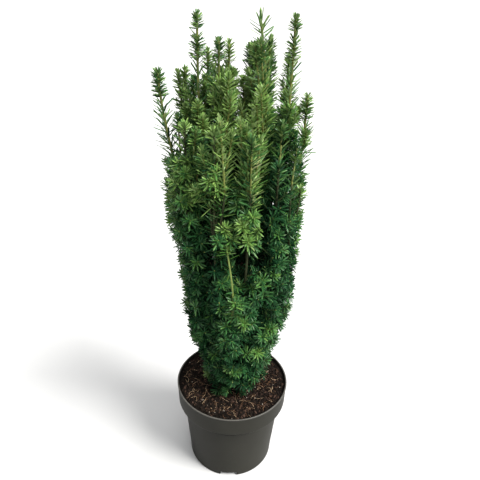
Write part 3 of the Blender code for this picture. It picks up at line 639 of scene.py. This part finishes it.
def make_camera():
    camera = placed("camera", bpy.data.cameras.new("camera"))
    pitch = Matrix.Rotation(math.radians(90.0 - CAMERA_DOWN_DEGREES), 4, "X")
    roll = Matrix.Rotation(math.radians(CAMERA_ROLL_DEGREES), 4, "Z")
    camera.matrix_world = Matrix.Translation(CAMERA_PLACE) @ pitch @ roll
    camera.data.lens = CAMERA_LENS
    camera.data.sensor_width = CAMERA_SENSOR
    camera.data.clip_start = CAMERA_NEAR
    bpy.context.scene.camera = camera


def make_sun(name, bearing, elevation, width, strength, colour):
    light = bpy.data.lights.new(name, "SUN")
    light.angle = math.radians(width)
    light.energy = strength
    light.color = colour
    turn, rise = math.radians(bearing), math.radians(elevation)
    source = Vector((math.cos(turn) * math.cos(rise), math.sin(turn) * math.cos(rise), math.sin(rise)))
    placed(name, light).rotation_euler = source.to_track_quat("Z", "Y").to_euler()


def make_floor():
    """A floor that curves up into a wall behind the plant."""
    nodes = Nodes("studio_floor", 0.9, 0.0)
    nodes.shader.inputs["Base Color"].default_value = FLOOR_COLOUR
    bend = arc(FLOOR_FAR - FLOOR_BEND, FLOOR_BEND, FLOOR_BEND, -90.0, 0.0, 13)
    profile = [(FLOOR_NEAR, 0.0), *bend, (FLOOR_FAR, WALL_TOP)]
    sides = (-FLOOR_WIDTH / 2, FLOOR_WIDTH / 2)
    rows = np.array([(x, y, z - FLOOR_DROP) for y, z in profile for x in sides])
    step = np.arange(len(profile) - 1)[:, None] * 2
    floor = mesh_piece("studio_floor", rows, [step + np.array([0, 1, 3, 2])], [nodes.material])


def make_studio():
    scene = bpy.context.scene
    scene.view_settings.view_transform = "Standard"
    scene.world = bpy.data.worlds.new("studio")
    scene.world.use_nodes = True
    background = scene.world.node_tree.nodes["Background"]
    background.inputs["Color"].default_value = WORLD_COLOUR
    background.inputs["Strength"].default_value = WORLD_STRENGTH
    for sun in SUNS:
        make_sun(*sun)
    make_floor()


# Pot


def arc(centre_r, centre_z, radius, first, last, count):
    """Points of a profile arc, angles in degrees from +R towards +Z."""
    angles = np.radians(np.linspace(first, last, count))
    return [(centre_r + radius * math.cos(a), centre_z + radius * math.sin(a)) for a in angles]


def pot_profile():
    """The pot's outline in radius and height, from its floor's middle up inside and down outside."""
    band_foot = POT_HEIGHT - BAND_DEPTH
    step_foot = band_foot - BAND_STEP
    inner_floor = NOTCH_HEIGHT + POT_WALL
    inner_foot_radius = FOOT_RADIUS - NOTCH_DEPTH - POT_WALL
    lip_radius, lip_height = RIM_RADIUS - LIP_RADIUS, POT_HEIGHT - LIP_RADIUS
    return [
        (0.0, POT_WALL),
        (inner_foot_radius - 0.004, POT_WALL),
        (inner_foot_radius, inner_floor),
        (FOOT_RADIUS - POT_WALL, inner_floor + 0.001),
        (WALL_TOP_RADIUS - POT_WALL, step_foot),
        (BAND_FOOT_RADIUS - POT_WALL, band_foot),
        (RIM_RADIUS - POT_WALL - 0.0008, POT_HEIGHT - 0.003),
        *arc(lip_radius - 0.0006, lip_height, LIP_RADIUS, 165.0, 90.0, 5),
        *arc(lip_radius, lip_height, LIP_RADIUS, 90.0, -60.0, 8),
        (lip_radius, POT_HEIGHT - 0.0034),
        (lip_radius - 0.0001, POT_HEIGHT - 0.006),
        (BAND_FOOT_RADIUS + 0.0004, band_foot + 0.010),
        *arc(BAND_FOOT_RADIUS - BAND_ROUNDING, band_foot + 0.0018, BAND_ROUNDING, 0.0, -60.0, 6),
        *arc(WALL_TOP_RADIUS + STEP_ROUNDING, step_foot - 0.0040, STEP_ROUNDING, 112.0, 180.0, 8),
        (FOOT_RADIUS + 0.0010, 0.020),
        (FOOT_RADIUS + 0.0002, 0.003),
        *arc(FOOT_RADIUS - FOOT_ROUNDING, FOOT_ROUNDING, FOOT_ROUNDING, 0.0, -90.0, 5),
        (0.0, 0.0),
    ]


def turned_mesh(name, profile, turns, material):
    """A closed turned solid: its first and last profile points lie on the axis."""
    radii, heights = np.array(profile[1:-1]).T
    angles = around(turns)
    level = np.outer(heights, np.ones(turns))
    rings = np.stack([np.outer(radii, np.cos(angles)), np.outer(radii, np.sin(angles)), level], -1)
    verts = np.concatenate([rings.reshape(-1, 3), [[0, 0, profile[0][1]], [0, 0, profile[-1][1]]]])
    return mesh_piece(name, verts, skin(len(radii), turns), [material])


def cut(obj, cutters):
    for cutter in cutters:
        boolean = obj.modifiers.new(cutter.name, "BOOLEAN")
        boolean.operation = "DIFFERENCE"
        boolean.solver = "EXACT"
        boolean.object = cutter
    bpy.context.view_layer.update()
    evaluated = obj.evaluated_get(bpy.context.evaluated_depsgraph_get())
    obj.data = bpy.data.meshes.new_from_object(evaluated)
    obj.modifiers.clear()
    for cutter in cutters:
        bpy.data.objects.remove(cutter, do_unlink=True)
    obj.data.set_sharp_from_angle(angle=math.radians(SHARP_DEGREES))


def foot_cutters():
    cutters = []
    for k in range(NOTCH_COUNT):
        turn = Matrix.Rotation(math.radians(NOTCH_BEARING + 360.0 * k / NOTCH_COUNT), 4, "Z")
        bpy.ops.mesh.primitive_cube_add(size=1.0)
        cube = bpy.context.object
        size = Matrix.Diagonal((NOTCH_DEPTH * 2, NOTCH_WIDTH, NOTCH_HEIGHT * 2, 1.0))
        cube.matrix_world = turn @ Matrix.Translation((FOOT_RADIUS, 0.0, 0.0)) @ size
        cutters.append(cube)
    for k in range(DRAIN_COUNT):
        bearing = math.radians(NOTCH_BEARING + 360.0 * (k + 0.5) / DRAIN_COUNT)
        place = (DRAIN_RING_RADIUS * math.cos(bearing), DRAIN_RING_RADIUS * math.sin(bearing), 0.0)
        bpy.ops.mesh.primitive_cylinder_add(vertices=28, radius=DRAIN_RADIUS, depth=0.03, location=place)
        cutters.append(bpy.context.object)
    return cutters


def pot_material():
    """Moulded plastic: cloudy, with a fine grain."""
    nodes = Nodes("moulded_plastic", 0.55, 0.12)
    nodes.colour(nodes.noise(9.0, 5.0), POT_COLOURS)
    nodes.bump(nodes.noise(900.0, 2.0), 0.16, 0.0002)
    return nodes.material


def make_pot():
    pot = turned_mesh("pot_moulding", pot_profile(), POT_TURNS, pot_material())
    cut(pot, foot_cutters())
    # The faces at the rim's top take the lighter lip colour: a painted highlight
    pot.data.materials.append(look("lip_painted_highlight"))
    for face in pot.data.polygons:
        if face.center.z > POT_HEIGHT - LIP_HIGHLIGHT_DEPTH:
            face.material_index = 1
    stands_for(pot, ["pot"])


# Potting mix


def soil_height(x, y):
    """The height of the mix, before its crumbs, at places on it."""
    points = np.stack([x, y, np.zeros_like(x)], -1)
    rise = SOIL_EDGE_RISE * smooth_step(np.hypot(x, y), 0.030, 0.100)
    uneven = 0.0010 * ripple(points, 110.0, 3, 3) + 0.0007 * ripple(points, 420.0, 4, 2)
    return SOIL_TOP - 0.0010 + rise + uneven


def make_soil_bed():
    """The mix's uneven top, closed by a short skirt inside the pot."""
    reach = SOIL_EDGE_RADIUS * np.linspace(0.0, 1.0, SOIL_RINGS + 1)[1:] ** 0.8
    reach = np.append(reach, WALL_TOP_RADIUS - POT_WALL - 0.001)
    angles = around(SOIL_TURNS)
    ends = (0.0, 0.0)
    x = np.append(np.outer(reach, np.cos(angles)), ends)
    y = np.append(np.outer(reach, np.sin(angles)), ends)
    height = soil_height(x, y)
    height[-SOIL_TURNS - 2:-2] = SOIL_FOOT
    height[-1] = SOIL_FOOT
    faces = [np.concatenate([f[:, :1], f[:, :0:-1]], 1) for f in skin(len(reach), SOIL_TURNS)]
    bed = mesh_piece("soil_bed", np.stack([x, y, height], -1), faces, [look("peat")])
    stands_for(bed, ["soil"])


def lumps(name, places, sizes, flatness, roughness, seed, material):
    """Irregular lumps from one icosphere, each squashed, turned and dented in its own way."""
    rng = np.random.default_rng(seed)
    shape = bmesh.new()
    bmesh.ops.create_icosphere(shape, subdivisions=1, radius=1.0)
    base = np.array([tuple(v.co) for v in shape.verts])
    corners = np.array([[v.index for v in f.verts] for f in shape.faces])
    shape.free()
    count = len(places)
    axes = np.linalg.qr(rng.normal(size=(count, 3, 3)))[0]
    stretch = [rng.uniform(low, high, count) for low, high in ((0.8, 1.5), (0.5, 1.0), flatness)]
    dents = 1.0 + roughness * rng.normal(size=(count, len(base), 1))
    verts = base[None] * dents * (np.stack(stretch, -1) * sizes[:, None])[:, None]
    verts = np.einsum("nij,nkj->nki", axes, verts) + places[:, None]
    faces = corners[None] + np.arange(count)[:, None, None] * len(base)
    return mesh_piece(name, verts.reshape(-1, 3), [faces.reshape(-1, 3)], [material], smooth=False)


def scattered(count, seed, lift, outer=LITTER_REACH):
    """Places on the mix, evenly spread, at a height above it."""
    rng = np.random.default_rng(seed)
    reach = np.sqrt(rng.uniform(0.0, 1.0, count)) * outer
    angle = rng.uniform(0.0, math.tau, count)
    x, y = reach * np.cos(angle), reach * np.sin(angle)
    return np.stack([x, y, soil_height(x, y) + lift], -1)


def straws(name, count, seed, lengths, radius, material):
    """Thin bent straws that lie on the mix."""
    rng = np.random.default_rng(seed)
    runs = []
    for x, y, _ in scattered(count, seed + 1, 0.0, outer=0.100):
        angle = rng.uniform(0.0, math.tau)
        bend = rng.normal(0.0, 1.4)
        length = rng.uniform(*lengths)
        points = []
        for step in range(STRAW_STEPS + 1):
            if math.hypot(x, y) > LITTER_REACH:
                break
            arch = math.sin(math.pi * step / STRAW_STEPS)
            rise = 0.0007 + 0.0022 * arch * rng.uniform(0.2, 1.0)
            points.append((x, y, soil_height(np.array([x]), np.array([y]))[0] + rise))
            angle += bend / STRAW_STEPS
            x += math.cos(angle) * length / STRAW_STEPS
            y += math.sin(angle) * length / STRAW_STEPS
        if len(points) > 2:
            runs.append((np.array(points), np.full(len(points), radius * rng.uniform(0.6, 1.3))))
    return tubes(name, runs, 4, material)


def make_soil():
    make_soil_bed()
    rng = np.random.default_rng(SEED)
    for name, count, seed, lift, sizes, flatness, dented, kind in SOIL_BITS:
        places, sizes = scattered(count, seed, lift), rng.uniform(*sizes, count)
        piece = lumps(name, places, sizes, flatness, dented, seed + 1, look(kind))
        stands_for(piece)
    for name, count, seed, lengths, radius, kind in STRAWS:
        stands_for(straws(name, count, seed, lengths, radius, look(kind)))


# Limbs, by the rule of the solids


def trunk_point(share):
    point = TRUNK_FOOT + (TRUNK_TIP - TRUNK_FOOT) * share
    bend = np.array([math.sin(math.tau * share) * share, math.sin(math.pi * share), 0.0])
    return point + TRUNK_BEND * bend


def trunk_radius(share):
    taper = TRUNK_FOOT_RADIUS + (TRUNK_TIP_RADIUS - TRUNK_FOOT_RADIUS) * share
    rise = share * (TRUNK_TIP[2] - TRUNK_FOOT[2])
    return taper * (1.0 + ROOT_FLARE * math.exp(-rise / ROOT_FLARE_HEIGHT))


def tip_point(bearing, reach, top):
    angle = math.radians(bearing)
    return np.array([reach * math.cos(angle), reach * math.sin(angle), top - TUFT_RISE])


def limb_path(bearing, reach, top, spread, fork, count=30):
    """The run of a bough and the stem beyond it, from the trunk at the fork's height to the tip."""
    tip = tip_point(bearing, reach, top)
    share = (fork - TRUNK_FOOT[2]) / (TRUNK_TIP[2] - TRUNK_FOOT[2])
    axis = trunk_point(share)
    outward = unit(np.array([tip[0] - axis[0], tip[1] - axis[1], 0.0]))
    start = axis + outward * trunk_radius(share) * 0.8
    shares = np.linspace(0.0, 1.0, count)
    out = 1.0 - (1.0 - shares) ** spread
    path = start + (tip - start) * out[:, None]
    path[:, 2] = start[2] + (tip[2] - start[2]) * shares
    return path


def central_path(bearing, reach, top, spread, count=30):
    """The run of the stem that the trunk goes on as."""
    shares = 1.0 - (1.0 - np.linspace(0.0, 1.0, count)) ** spread
    path = TRUNK_TIP + (tip_point(bearing, reach, top) - TRUNK_TIP) * shares[:, None]
    path[:, 0] += TRUNK_LEADER_BOW * np.sin(np.linspace(0.0, math.pi, count))
    return path


def forks(rows, low, high):
    """The height at which each bough leaves the trunk: the furthest reach lowest."""
    order = sorted(rows, key=lambda row: -row[2])
    step = (high - low) / (len(order) - 1)
    return {row[0]: low + step * k for k, row in enumerate(order)}


def plan():
    """Each mass's name, its kind, its whole path and the height at which its foliage starts."""
    planned = []
    for kind, rows, low, high, start in (
        ("leader", LEADERS, LEADER_LOWEST_FORK, LEADER_HIGHEST_FORK, LEADER_START),
        ("flank", FLANKS, FLANK_LOWEST_FORK, FLANK_HIGHEST_FORK, FLANK_START),
    ):
        height = forks([row for row in rows if row[0] != TRUNK_LEADER], low, high)
        for name, *tip in rows:
            if name == TRUNK_LEADER:
                planned.append((name, "open", central_path(*tip), TRUNK_TIP[2]))
                continue
            tall = kind == "leader" and tip[2] > TALL_LEADER
            habit = "tall" if tall else "outer" if name in OUTER_LEADERS else kind
            planned.append((name, habit, limb_path(*tip, height[name]), start))
    for k in range(SKIRT_COUNT):
        bearing = SKIRT_BEARING + 360.0 * k / SKIRT_COUNT
        path = limb_path(bearing, SKIRT_REACH, SKIRT_TOP, SKIRT_SPREAD, SKIRT_FOOT)
        planned.append((f"skirt_{k + 1}", "skirt", path, SKIRT_FOOT))
    return planned


def above(path, height):
    """The part of a rising path above a height."""
    edge = interpolated([height], path[:, 2], path)
    return np.concatenate([edge, path[path[:, 2] > height + 0.002]])


def below(path, height):
    edge = interpolated([height], path[:, 2], path)
    return np.concatenate([path[path[:, 2] < height - 0.002], edge])


def steps_of(path):
    return np.linalg.norm(np.diff(path, axis=0), axis=1)


def spread_along(path, shares):
    """Points and directions at shares of a path's length."""
    lengths = np.concatenate([[0.0], np.cumsum(steps_of(path))])
    at = np.asarray(shares) * lengths[-1]
    slopes = np.gradient(path, lengths, axis=0)
    return interpolated(at, lengths, path), unit(interpolated(at, lengths, slopes))


def square_to(directions):
    """Two unit vectors square to each direction and to each other."""
    helper = np.where(np.abs(directions[..., :1]) < 0.8, [[1.0, 0.0, 0.0]], [[0.0, 1.0, 0.0]])
    first = unit(np.cross(directions, helper))
    return first, np.cross(directions, first)


def roughened(obj, depth, scale, seed):
    """Pushes a limb's surface in and out: long ridges along it with short cracks."""
    mesh = obj.data
    verts, normals = np.empty(len(mesh.vertices) * 3), np.empty(len(mesh.vertices) * 3)
    mesh.vertices.foreach_get("co", verts)
    mesh.vertices.foreach_get("normal", normals)
    verts, normals = verts.reshape(-1, 3), normals.reshape(-1, 3)
    relief = ripple(verts * [1.0, 1.0, 0.28], scale, seed, 3)
    relief += 0.5 * ripple(verts, scale * 1.7, seed + 1, 2)
    verts = verts + normals * (relief * depth)[:, None]
    mesh.vertices.foreach_set("co", verts.astype(np.float32).reshape(-1))
    mesh.update()


def make_limbs(planned):
    bark = look("yew_bark")
    shares = np.linspace(0.0, 1.0, 110) ** 1.3
    path = np.array([trunk_point(share) for share in shares])
    trunk = tubes("trunk_bark", [(path, [trunk_radius(share) for share in shares])], TRUNK_SIDES, bark)
    roughened(trunk, 0.00045, 900.0, 51)
    stands_for(trunk, ["trunk"])
    runs, nodes = [], []
    for name, kind, path, start in planned:
        if kind == "skirt" or name == TRUNK_LEADER:
            continue
        run = spread_along(below(path, start + 0.01), np.linspace(0.0, 1.0, 34))[0]
        taper = np.linspace(BOUGH_FOOT_RADIUS, BOUGH_TIP_RADIUS, len(run))
        runs.append((run, taper * (1.0 + 0.5 * np.exp(-np.arange(len(run)) / 1.2))))
        nodes.append(f"bough_{name}")
    boughs = tubes("bough_bark", runs, BOUGH_SIDES, bark)
    roughened(boughs, 0.00022, 1300.0, 61)
    stands_for(boughs, nodes)


# Space that the foliage keeps to


def crown_at(heights):
    """The crown's reach, and how far its middle is off to +X, at some heights."""
    return [np.interp(heights, CROWN_HEIGHTS, values) for values in (CROWN_REACHES, CROWN_SHIFTS)]


def distance(points, stem):
    start, run = stem[:-1], np.diff(stem, axis=0)
    share = np.clip(((points[:, None] - start) * run).sum(2) / (run * run).sum(1), 0.0, 1.0)
    return np.linalg.norm(points[:, None] - start - share[..., None] * run, axis=2).min(1)


def outside(points, give=0.0):
    """How far points lie past the crown's reach, which may give a little to either side."""
    reach, shift = crown_at(points[:, 2])
    past = np.hypot(points[:, 0] - shift, points[:, 1]) - reach - give
    deep = np.abs(points[:, 1]) - CROWN_DEPTH
    wide = np.maximum(CROWN_WIDTH[0] - points[:, 0], points[:, 0] - CROWN_WIDTH[1])
    return np.maximum(past, np.maximum(deep, wide))


def turn_between(bearing, other):
    return np.angle(np.exp(1j * (bearing - other)))


def in_gap(points, share=1.0):
    """True for points in a groove, a hollow or an opening, each made wider or narrower by a share."""
    found = np.zeros(len(points), bool)
    for centre, radii in HOLLOWS:
        found |= np.linalg.norm((points - np.array(centre)) / np.array(radii), axis=1) < share
    for target, half_width in SIGHTS:
        ray = unit(np.array(target) - np.array(CAMERA_PLACE))
        off = points - np.array(CAMERA_PLACE)
        found |= np.linalg.norm(off - ray * (off @ ray)[:, None], axis=1) < half_width * share
    radius = np.hypot(points[:, 0], points[:, 1])
    bearing = np.arctan2(points[:, 1], points[:, 0])
    for low, high, first, last, half_width, floor in GROOVES:
        along = np.clip((points[:, 2] - low) / (high - low), 0.0, 1.0)
        off = np.abs(turn_between(bearing, np.radians(first + (last - first) * along)))
        ends = np.minimum(points[:, 2] - low, high - points[:, 2])
        width = half_width * np.clip(ends / 0.03, 0.0, 1.0) * np.clip((radius - floor) / 0.02, 0.0, 1.0)
        found |= (off * radius < width * share) & (off < 0.6)
    return found


def holds(stems, name, points, spare):
    """True if a shoot's points keep to the crown, above the mix and about in their own space."""
    if (outside(points) > -spare).any() or (points[:, 2] < SOIL_TOP + 0.006).any():
        return False
    if in_gap(points, 1.2).any():
        return False
    distances = {other: distance(points, stem) for other, stem in stems.items()}
    own = distances.pop(name)
    return bool((own - np.min(list(distances.values()), axis=0) < TRESPASS).all())


# Shoots


class Shoot:
    """One twig: its mass and kind, order (0 stem, 1 side, 2 finer), points, radii and habit."""

    def __init__(self, mass, kind, order, path, foot_radius, tip_radius, habit):
        self.mass, self.kind, self.order, self.path, self.habit = mass, kind, order, path, habit
        self.radii = np.linspace(foot_radius, tip_radius, len(path))
        self.length = float(steps_of(path).sum())
        self.lighter = MASS_TONES.get(mass, 0.0)


def curved(start, direction, length, lift, count=6):
    """A twig's points: it turns up as it grows."""
    points = [start]
    for _ in range(count - 1):
        direction = unit(direction + UP * lift / count)
        points.append(points[-1] + direction * length / (count - 1))
    return np.array(points)


def side_shoot(stems, parent, share, bearing, angle, length, lift, spare):
    """A twig from its parent, drawn in until it fits. None if it can't."""
    points, directions = spread_along(parent.path, [share])
    first, second = square_to(directions)
    out = first[0] * math.cos(bearing) + second[0] * math.sin(bearing)
    heading = unit(directions[0] * math.cos(angle) + out * math.sin(angle))
    for drawn in SHOOT_SHARES:
        if length * drawn < SHORTEST_SHOOT:
            return None
        path = curved(points[0], heading, length * drawn, lift)
        if holds(stems, parent.mass, path[2:], spare):
            thick = TWIG_RADII[parent.order]
            habit = "side" if parent.kind in ("flank", "skirt") else "slender"
            return Shoot(parent.mass, parent.kind, parent.order + 1, path, thick, thick * 0.6, habit)
    return None


def branch(stems, stem, rng):
    """The side shoots of a stem, and the finer shoots of those."""
    gap, first, last, longest, shortest, degrees, lift = BRANCHING[stem.kind]
    grown = []
    turn = rng.uniform(0.0, math.tau)
    for k, share in enumerate(np.arange(first, last, gap / stem.length)):
        bearing = turn + GOLDEN_ANGLE * k
        angle = math.radians(degrees) * rng.uniform(0.82, 1.18)
        length = (longest + (shortest - longest) * share / last) * rng.uniform(0.8, 1.15)
        spare = rng.uniform(*SPARE)
        lifted = lift * rng.uniform(0.4, 1.4)
        shoot = side_shoot(stems, stem, share, bearing, angle, length, lifted, spare)
        if not shoot:
            continue
        grown.append(shoot)
        if shoot.length < FINER_FROM:
            continue
        place = FINER_PLACE + rng.uniform(-0.06, 0.06)
        side = rng.uniform(0.0, math.tau)
        wide = math.radians(rng.uniform(*FINER_DEGREES))
        fine = side_shoot(stems, shoot, place, side, wide, shoot.length * FINER_SHARE, lift, spare)
        if fine:
            grown.append(fine)
    return grown


def drawn_shoot(stems, mass, share, habit, lighter, *goals):
    """A shoot that the photo shows by itself: it leaves its mass's stem and runs to given points."""
    goals = np.array(goals) / 1000
    start, direction = (found[0] for found in spread_along(stems[mass], [share]))
    shares = np.linspace(0.0, 1.0, 24)[:, None]
    whole = goals[0] - start
    middle = start + direction * whole[2] * 0.30 + whole * DRAWN_LEAN
    path = (1 - shares) ** 2 * start + 2 * shares * (1 - shares) * middle + shares**2 * goals[0]
    for further in goals[1:]:
        path = np.concatenate([path, path[-1] + (further - path[-1]) * shares[1:]])
    for _ in range(40 if len(goals) > 1 else 0):
        path[1:-1] = 0.25 * path[:-2] + 0.5 * path[1:-1] + 0.25 * path[2:]
    thick = 0.0011 if habit == "side" else 0.0018
    shoot = Shoot(mass, "drawn", 0, path, thick, thick * 0.72, habit)
    shoot.lighter = lighter
    return shoot


# Needles


def needle_mesh(name, rows, materials):
    """One mesh of many needles, from rows of their roots, directions, upper sides and sizes."""
    root, direction, up = rows[:, 0:3], rows[:, 3:6], rows[:, 6:9]
    length, width, bend = rows[:, 9], rows[:, 10], rows[:, 11]
    along, across, high = NEEDLE_CORNERS.T
    verts = root[:, None] + direction[:, None] * (along * length[:, None])[..., None]
    verts = verts + np.cross(direction, up)[:, None] * (across * width[:, None] / 2)[..., None]
    lift = high * width[:, None] - bend[:, None] * length[:, None] * along**2
    verts = verts + up[:, None] * lift[..., None]
    faces = np.concatenate([NEEDLE_UPPER, NEEDLE_UNDER])
    which = np.tile(np.repeat([0, 1], [len(NEEDLE_UPPER), len(NEEDLE_UNDER)]), len(rows))
    faces = faces[None] + np.arange(len(rows))[:, None, None] * len(NEEDLE_CORNERS)
    return mesh_piece(name, verts.reshape(-1, 3), [faces.reshape(-1, 3)], materials, which, smooth=False)


def make_needles(needles, nodes):
    """The needles of each green, in pieces that stay small enough."""
    for k, (rows, greens) in enumerate(zip(needles, make_greens())):
        rows = np.concatenate(rows)
        pieces = math.ceil(len(rows) / MOST_IN_A_PIECE)
        for part, some in enumerate(np.array_split(rows, pieces)):
            piece = needle_mesh(f"needles_{k}_{part}", some, greens)
            stands_for(piece, nodes if k + part == 0 else [])


def stations(shoot, rng):
    """Where needles sit on a shoot: distance from the tip, angle, length and lift of tone."""
    rows = []
    for band in HABITS[shoot.habit]:
        start, end, gap, first_length, last_length = np.array(band[:5]) / 1000
        first_angle, last_angle, lift = band[5:]
        end = min(end, shoot.length * 0.97)
        if end <= start:
            continue
        count = max(1, int((end - start) / gap))
        share = (np.arange(count) + rng.uniform(0.15, 0.85, count)) / count
        rows.append(np.stack([
            start + (end - start) * share,
            first_angle + (last_angle - first_angle) * share + rng.normal(0.0, 6.0, count),
            (first_length + (last_length - first_length) * share) * rng.uniform(0.86, 1.12, count),
            np.full(count, lift),
        ], -1))
    rows = np.concatenate(rows)
    return rows[np.argsort(-rows[:, 0])].T


def tones(shoot, tone, lift, to_tip, points, heading, rng):
    """Each needle's place in the row of greens: darker where it is old and deep along the shoot in painted
    shade, pale on one spray's right.
    """
    count = len(points)
    high_up = smooth_step(points[:, 2], *EVEN_FROM)
    old_and_shaded = smooth_step(to_tip, *(DARKENING_ON_TWIG if shoot.order else DARKENING_ON_STEM)) * (1.0 - 0.55 * high_up)
    colour = tone + lift * (1.0 - 0.3 * high_up) - AGE_AND_SHADE_DARKEN * old_and_shaded
    colour = colour + rng.normal(0.0, NEEDLE_TONE_VARIES, count) * (1.0 + 0.9 * high_up)
    colour = np.minimum(colour, len(GREENS) - 2)
    if shoot.habit == "pale_side":
        pale = (heading[:, 0] > 0.30) & (points[:, 2] > PALE_FROM) & (points[:, 2] < PALE_TO)
        colour = np.where(pale, PALE + rng.normal(0.0, NEEDLE_TONE_VARIES, count), colour)
    return np.clip(np.rint(colour), 0, len(GREENS) - 1).astype(int)


def needles_on(shoot, tone, needles, rng):
    """Needles in a spiral along a shoot, closer and shorter in its head."""
    to_tip, angle, lengths, lift = stations(shoot, rng)
    count = len(to_tip)
    points, directions = spread_along(shoot.path, 1.0 - to_tip / shoot.length)
    turn = rng.uniform(0.0, math.tau) + GOLDEN_ANGLE * np.arange(count) + rng.normal(0.0, 0.20, count)
    out = turned(*square_to(directions), turn)
    heading = unit(turned(directions, out, np.radians(angle)))
    upper = unit(directions - heading * (directions * heading).sum(1, keepdims=True))
    upper = turned(upper, np.cross(heading, upper), rng.normal(0.0, 0.35, count))
    stout = shoot.order == 0 and shoot.habit not in SLIM_NEEDLED
    widths = NEEDLE_WIDTH * (STOUT_WIDENS if stout else SLIM_WIDENS) * rng.uniform(0.86, 1.12, count)
    in_head = (to_tip < HEAD_LENGTH) & (points[:, 2] > HEADS_ABOVE) & (shoot.order == 0)
    widths = np.where(in_head, widths * HEAD_WIDENS, widths)
    bends = rng.normal(0.03, 0.035, count)
    give = rng.normal(0.0015, 0.0035, count)
    kept = np.zeros(count, bool)
    drawn = lengths
    for share in NEEDLE_SHARES:
        tips = points + heading * (lengths * share)[:, None]
        fits = (outside(tips, give) < 0.0) & (tips[:, 2] > SOIL_TOP + 0.001)
        drawn = np.where(fits, lengths * share, drawn)
        kept |= fits
    if shoot.kind != "drawn":
        for share in (0.0, 0.5, 1.0):
            kept &= ~in_gap(points + heading * (lengths * share)[:, None])
    colour = tones(shoot, tone, lift, to_tip, points, heading, rng)
    sizes = np.stack([drawn, widths, bends], -1)
    rows = np.concatenate([points, heading, upper, sizes], 1)
    for k in np.unique(colour[kept]):
        needles[k].append(rows[kept & (colour == k)])


def tone_of(shoot, rng):
    """A shoot's place in the row of greens: brighter near the crown's surface, high up and in front, as
    painted light; darker deep inside, low down and in the hollows, as painted shade.
    """
    tip = shoot.path[-1]
    # Painted shade deep in the crown; painted light at its surface, in the top and up the sides
    outer = smooth_step(math.hypot(tip[0], tip[1]) / crown_at(tip[2])[0], 0.50, 0.88)
    top = smooth_step(tip[2], *TOP_RISE)
    tone = 1.6 * max(outer, top) + 0.5 * smooth_step(tip[2], *LOW_RISE)
    tone += max(1.3 * outer * smooth_step(tip[2], *SIDE_RISE), 2.9 * top)
    tone -= 1.8 * smooth_step(tip[2], *TIP_FALL)
    # The masses in front are painted lighter, as lit
    if shoot.mass in BRIGHT_MASSES:
        tone += 0.3 * smooth_step(tip[2], 0.50, 0.66) + 0.3 * top
    bearing = math.atan2(tip[1], tip[0])
    # Places painted lighter or darker, as light and as shade in the hollows
    for place, spread, low, high, lift in PLACES:
        off = turn_between(bearing, math.radians(place)) / math.radians(spread)
        within = smooth_step(tip[2], low - 0.04, low + 0.02)
        within *= 1.0 - smooth_step(tip[2], high - 0.04, high + 0.02)
        tone += lift * math.exp(-(off**2)) * within
    tone = tone + shoot.lighter + rng.normal(0.0, SHOOT_TONE_VARIES)
    return float(np.clip(tone, 0.0, BRIGHTEST_SHOOT))


def make_twigs(shoots):
    """Stems are brown low down and olive green above; those of flanks and skirts are dark all along, as
    painted shade. Side twigs are green.
    """
    runs = {name: [] for name in TWIGS}
    for shoot in shoots:
        path, radii = shoot.path, shoot.radii
        if shoot.order or shoot.habit == "side":
            runs["twigs_fine"].append((path, radii))
            continue
        if shoot.habit == "bare":
            runs["stem_young"].append((path, radii))
            continue
        low = path[:, 2] < OLIVE_FROM.get(shoot.kind, OLIVE_FROM_ELSE)
        if low.sum() > 1:
            last = min(len(low), low.sum() + 1)
            runs["stems_brown_and_shaded"].append((path[:last], radii[:last]))
        if (~low).sum() > 1:
            runs["stems_olive"].append((path[~low], radii[~low]))
    for name, (sides, kind) in TWIGS.items():
        stands_for(tubes(name, runs[name], sides, look(kind)))


def make_buds(shoots, rng):
    """A small scaly bud at each shoot's tip."""
    runs = []
    for shoot in shoots:
        direction = unit(shoot.path[-1] - shoot.path[-2])
        size = rng.uniform(0.0011, 0.0017)
        places, radii = size * np.array(BUD_PROFILE).T
        runs.append((shoot.path[-1] + direction * places[:, None], radii))
    stands_for(tubes("buds", runs, 5, look("buds")))


def drawn_in(path):
    """A stem's path, kept deep enough inside the crown for its needles to cover it."""
    reach, shift = crown_at(path[:, 2])
    to_tip = path[-1, 2] - path[:, 2]
    room = reach - TIP_DEPTH - (STEM_DEPTH - TIP_DEPTH) * smooth_step(to_tip, 0.0, 0.08)
    radius = np.hypot(path[:, 0] - shift, path[:, 1])
    share = np.minimum(1.0, room / np.maximum(radius, 1e-6))
    return np.stack([shift + (path[:, 0] - shift) * share, path[:, 1] * share, path[:, 2]], -1)


def make_foliage(planned):
    stems = {name: drawn_in(above(path, start)) for name, kind, path, start in planned}
    shoots = []
    for name, kind, *_ in planned:
        rng = np.random.default_rng([SEED, len(shoots)])
        skirt = kind == "skirt"
        foot_radius = BOUGH_FOOT_RADIUS if skirt else BOUGH_TIP_RADIUS
        tip_radius = STEM_TIP_RADIUS if skirt else LEADER_TIP_RADIUS
        run = spread_along(stems[name], np.linspace(0.0, 1.0, 40))[0]
        stem = Shoot(name, kind, 0, run, foot_radius, tip_radius, kind)
        shoots += [stem, *branch(stems, stem, rng)]
    shoots += [drawn_shoot(stems, mass, *row) for mass, *rows in DRAWN_SHOOTS for row in rows]
    needles = [[] for _ in GREENS]
    rng = np.random.default_rng(SEED + 1)
    for shoot in shoots:
        needles_on(shoot, tone_of(shoot, rng), needles, rng)
    make_twigs(shoots)
    make_buds(shoots, rng)
    make_needles(needles, [f"foliage_{name}" for name, *_ in planned])


make_camera()
make_studio()
make_pot()
make_soil()
plants = plan()
make_limbs(plants)
make_foliage(plants)
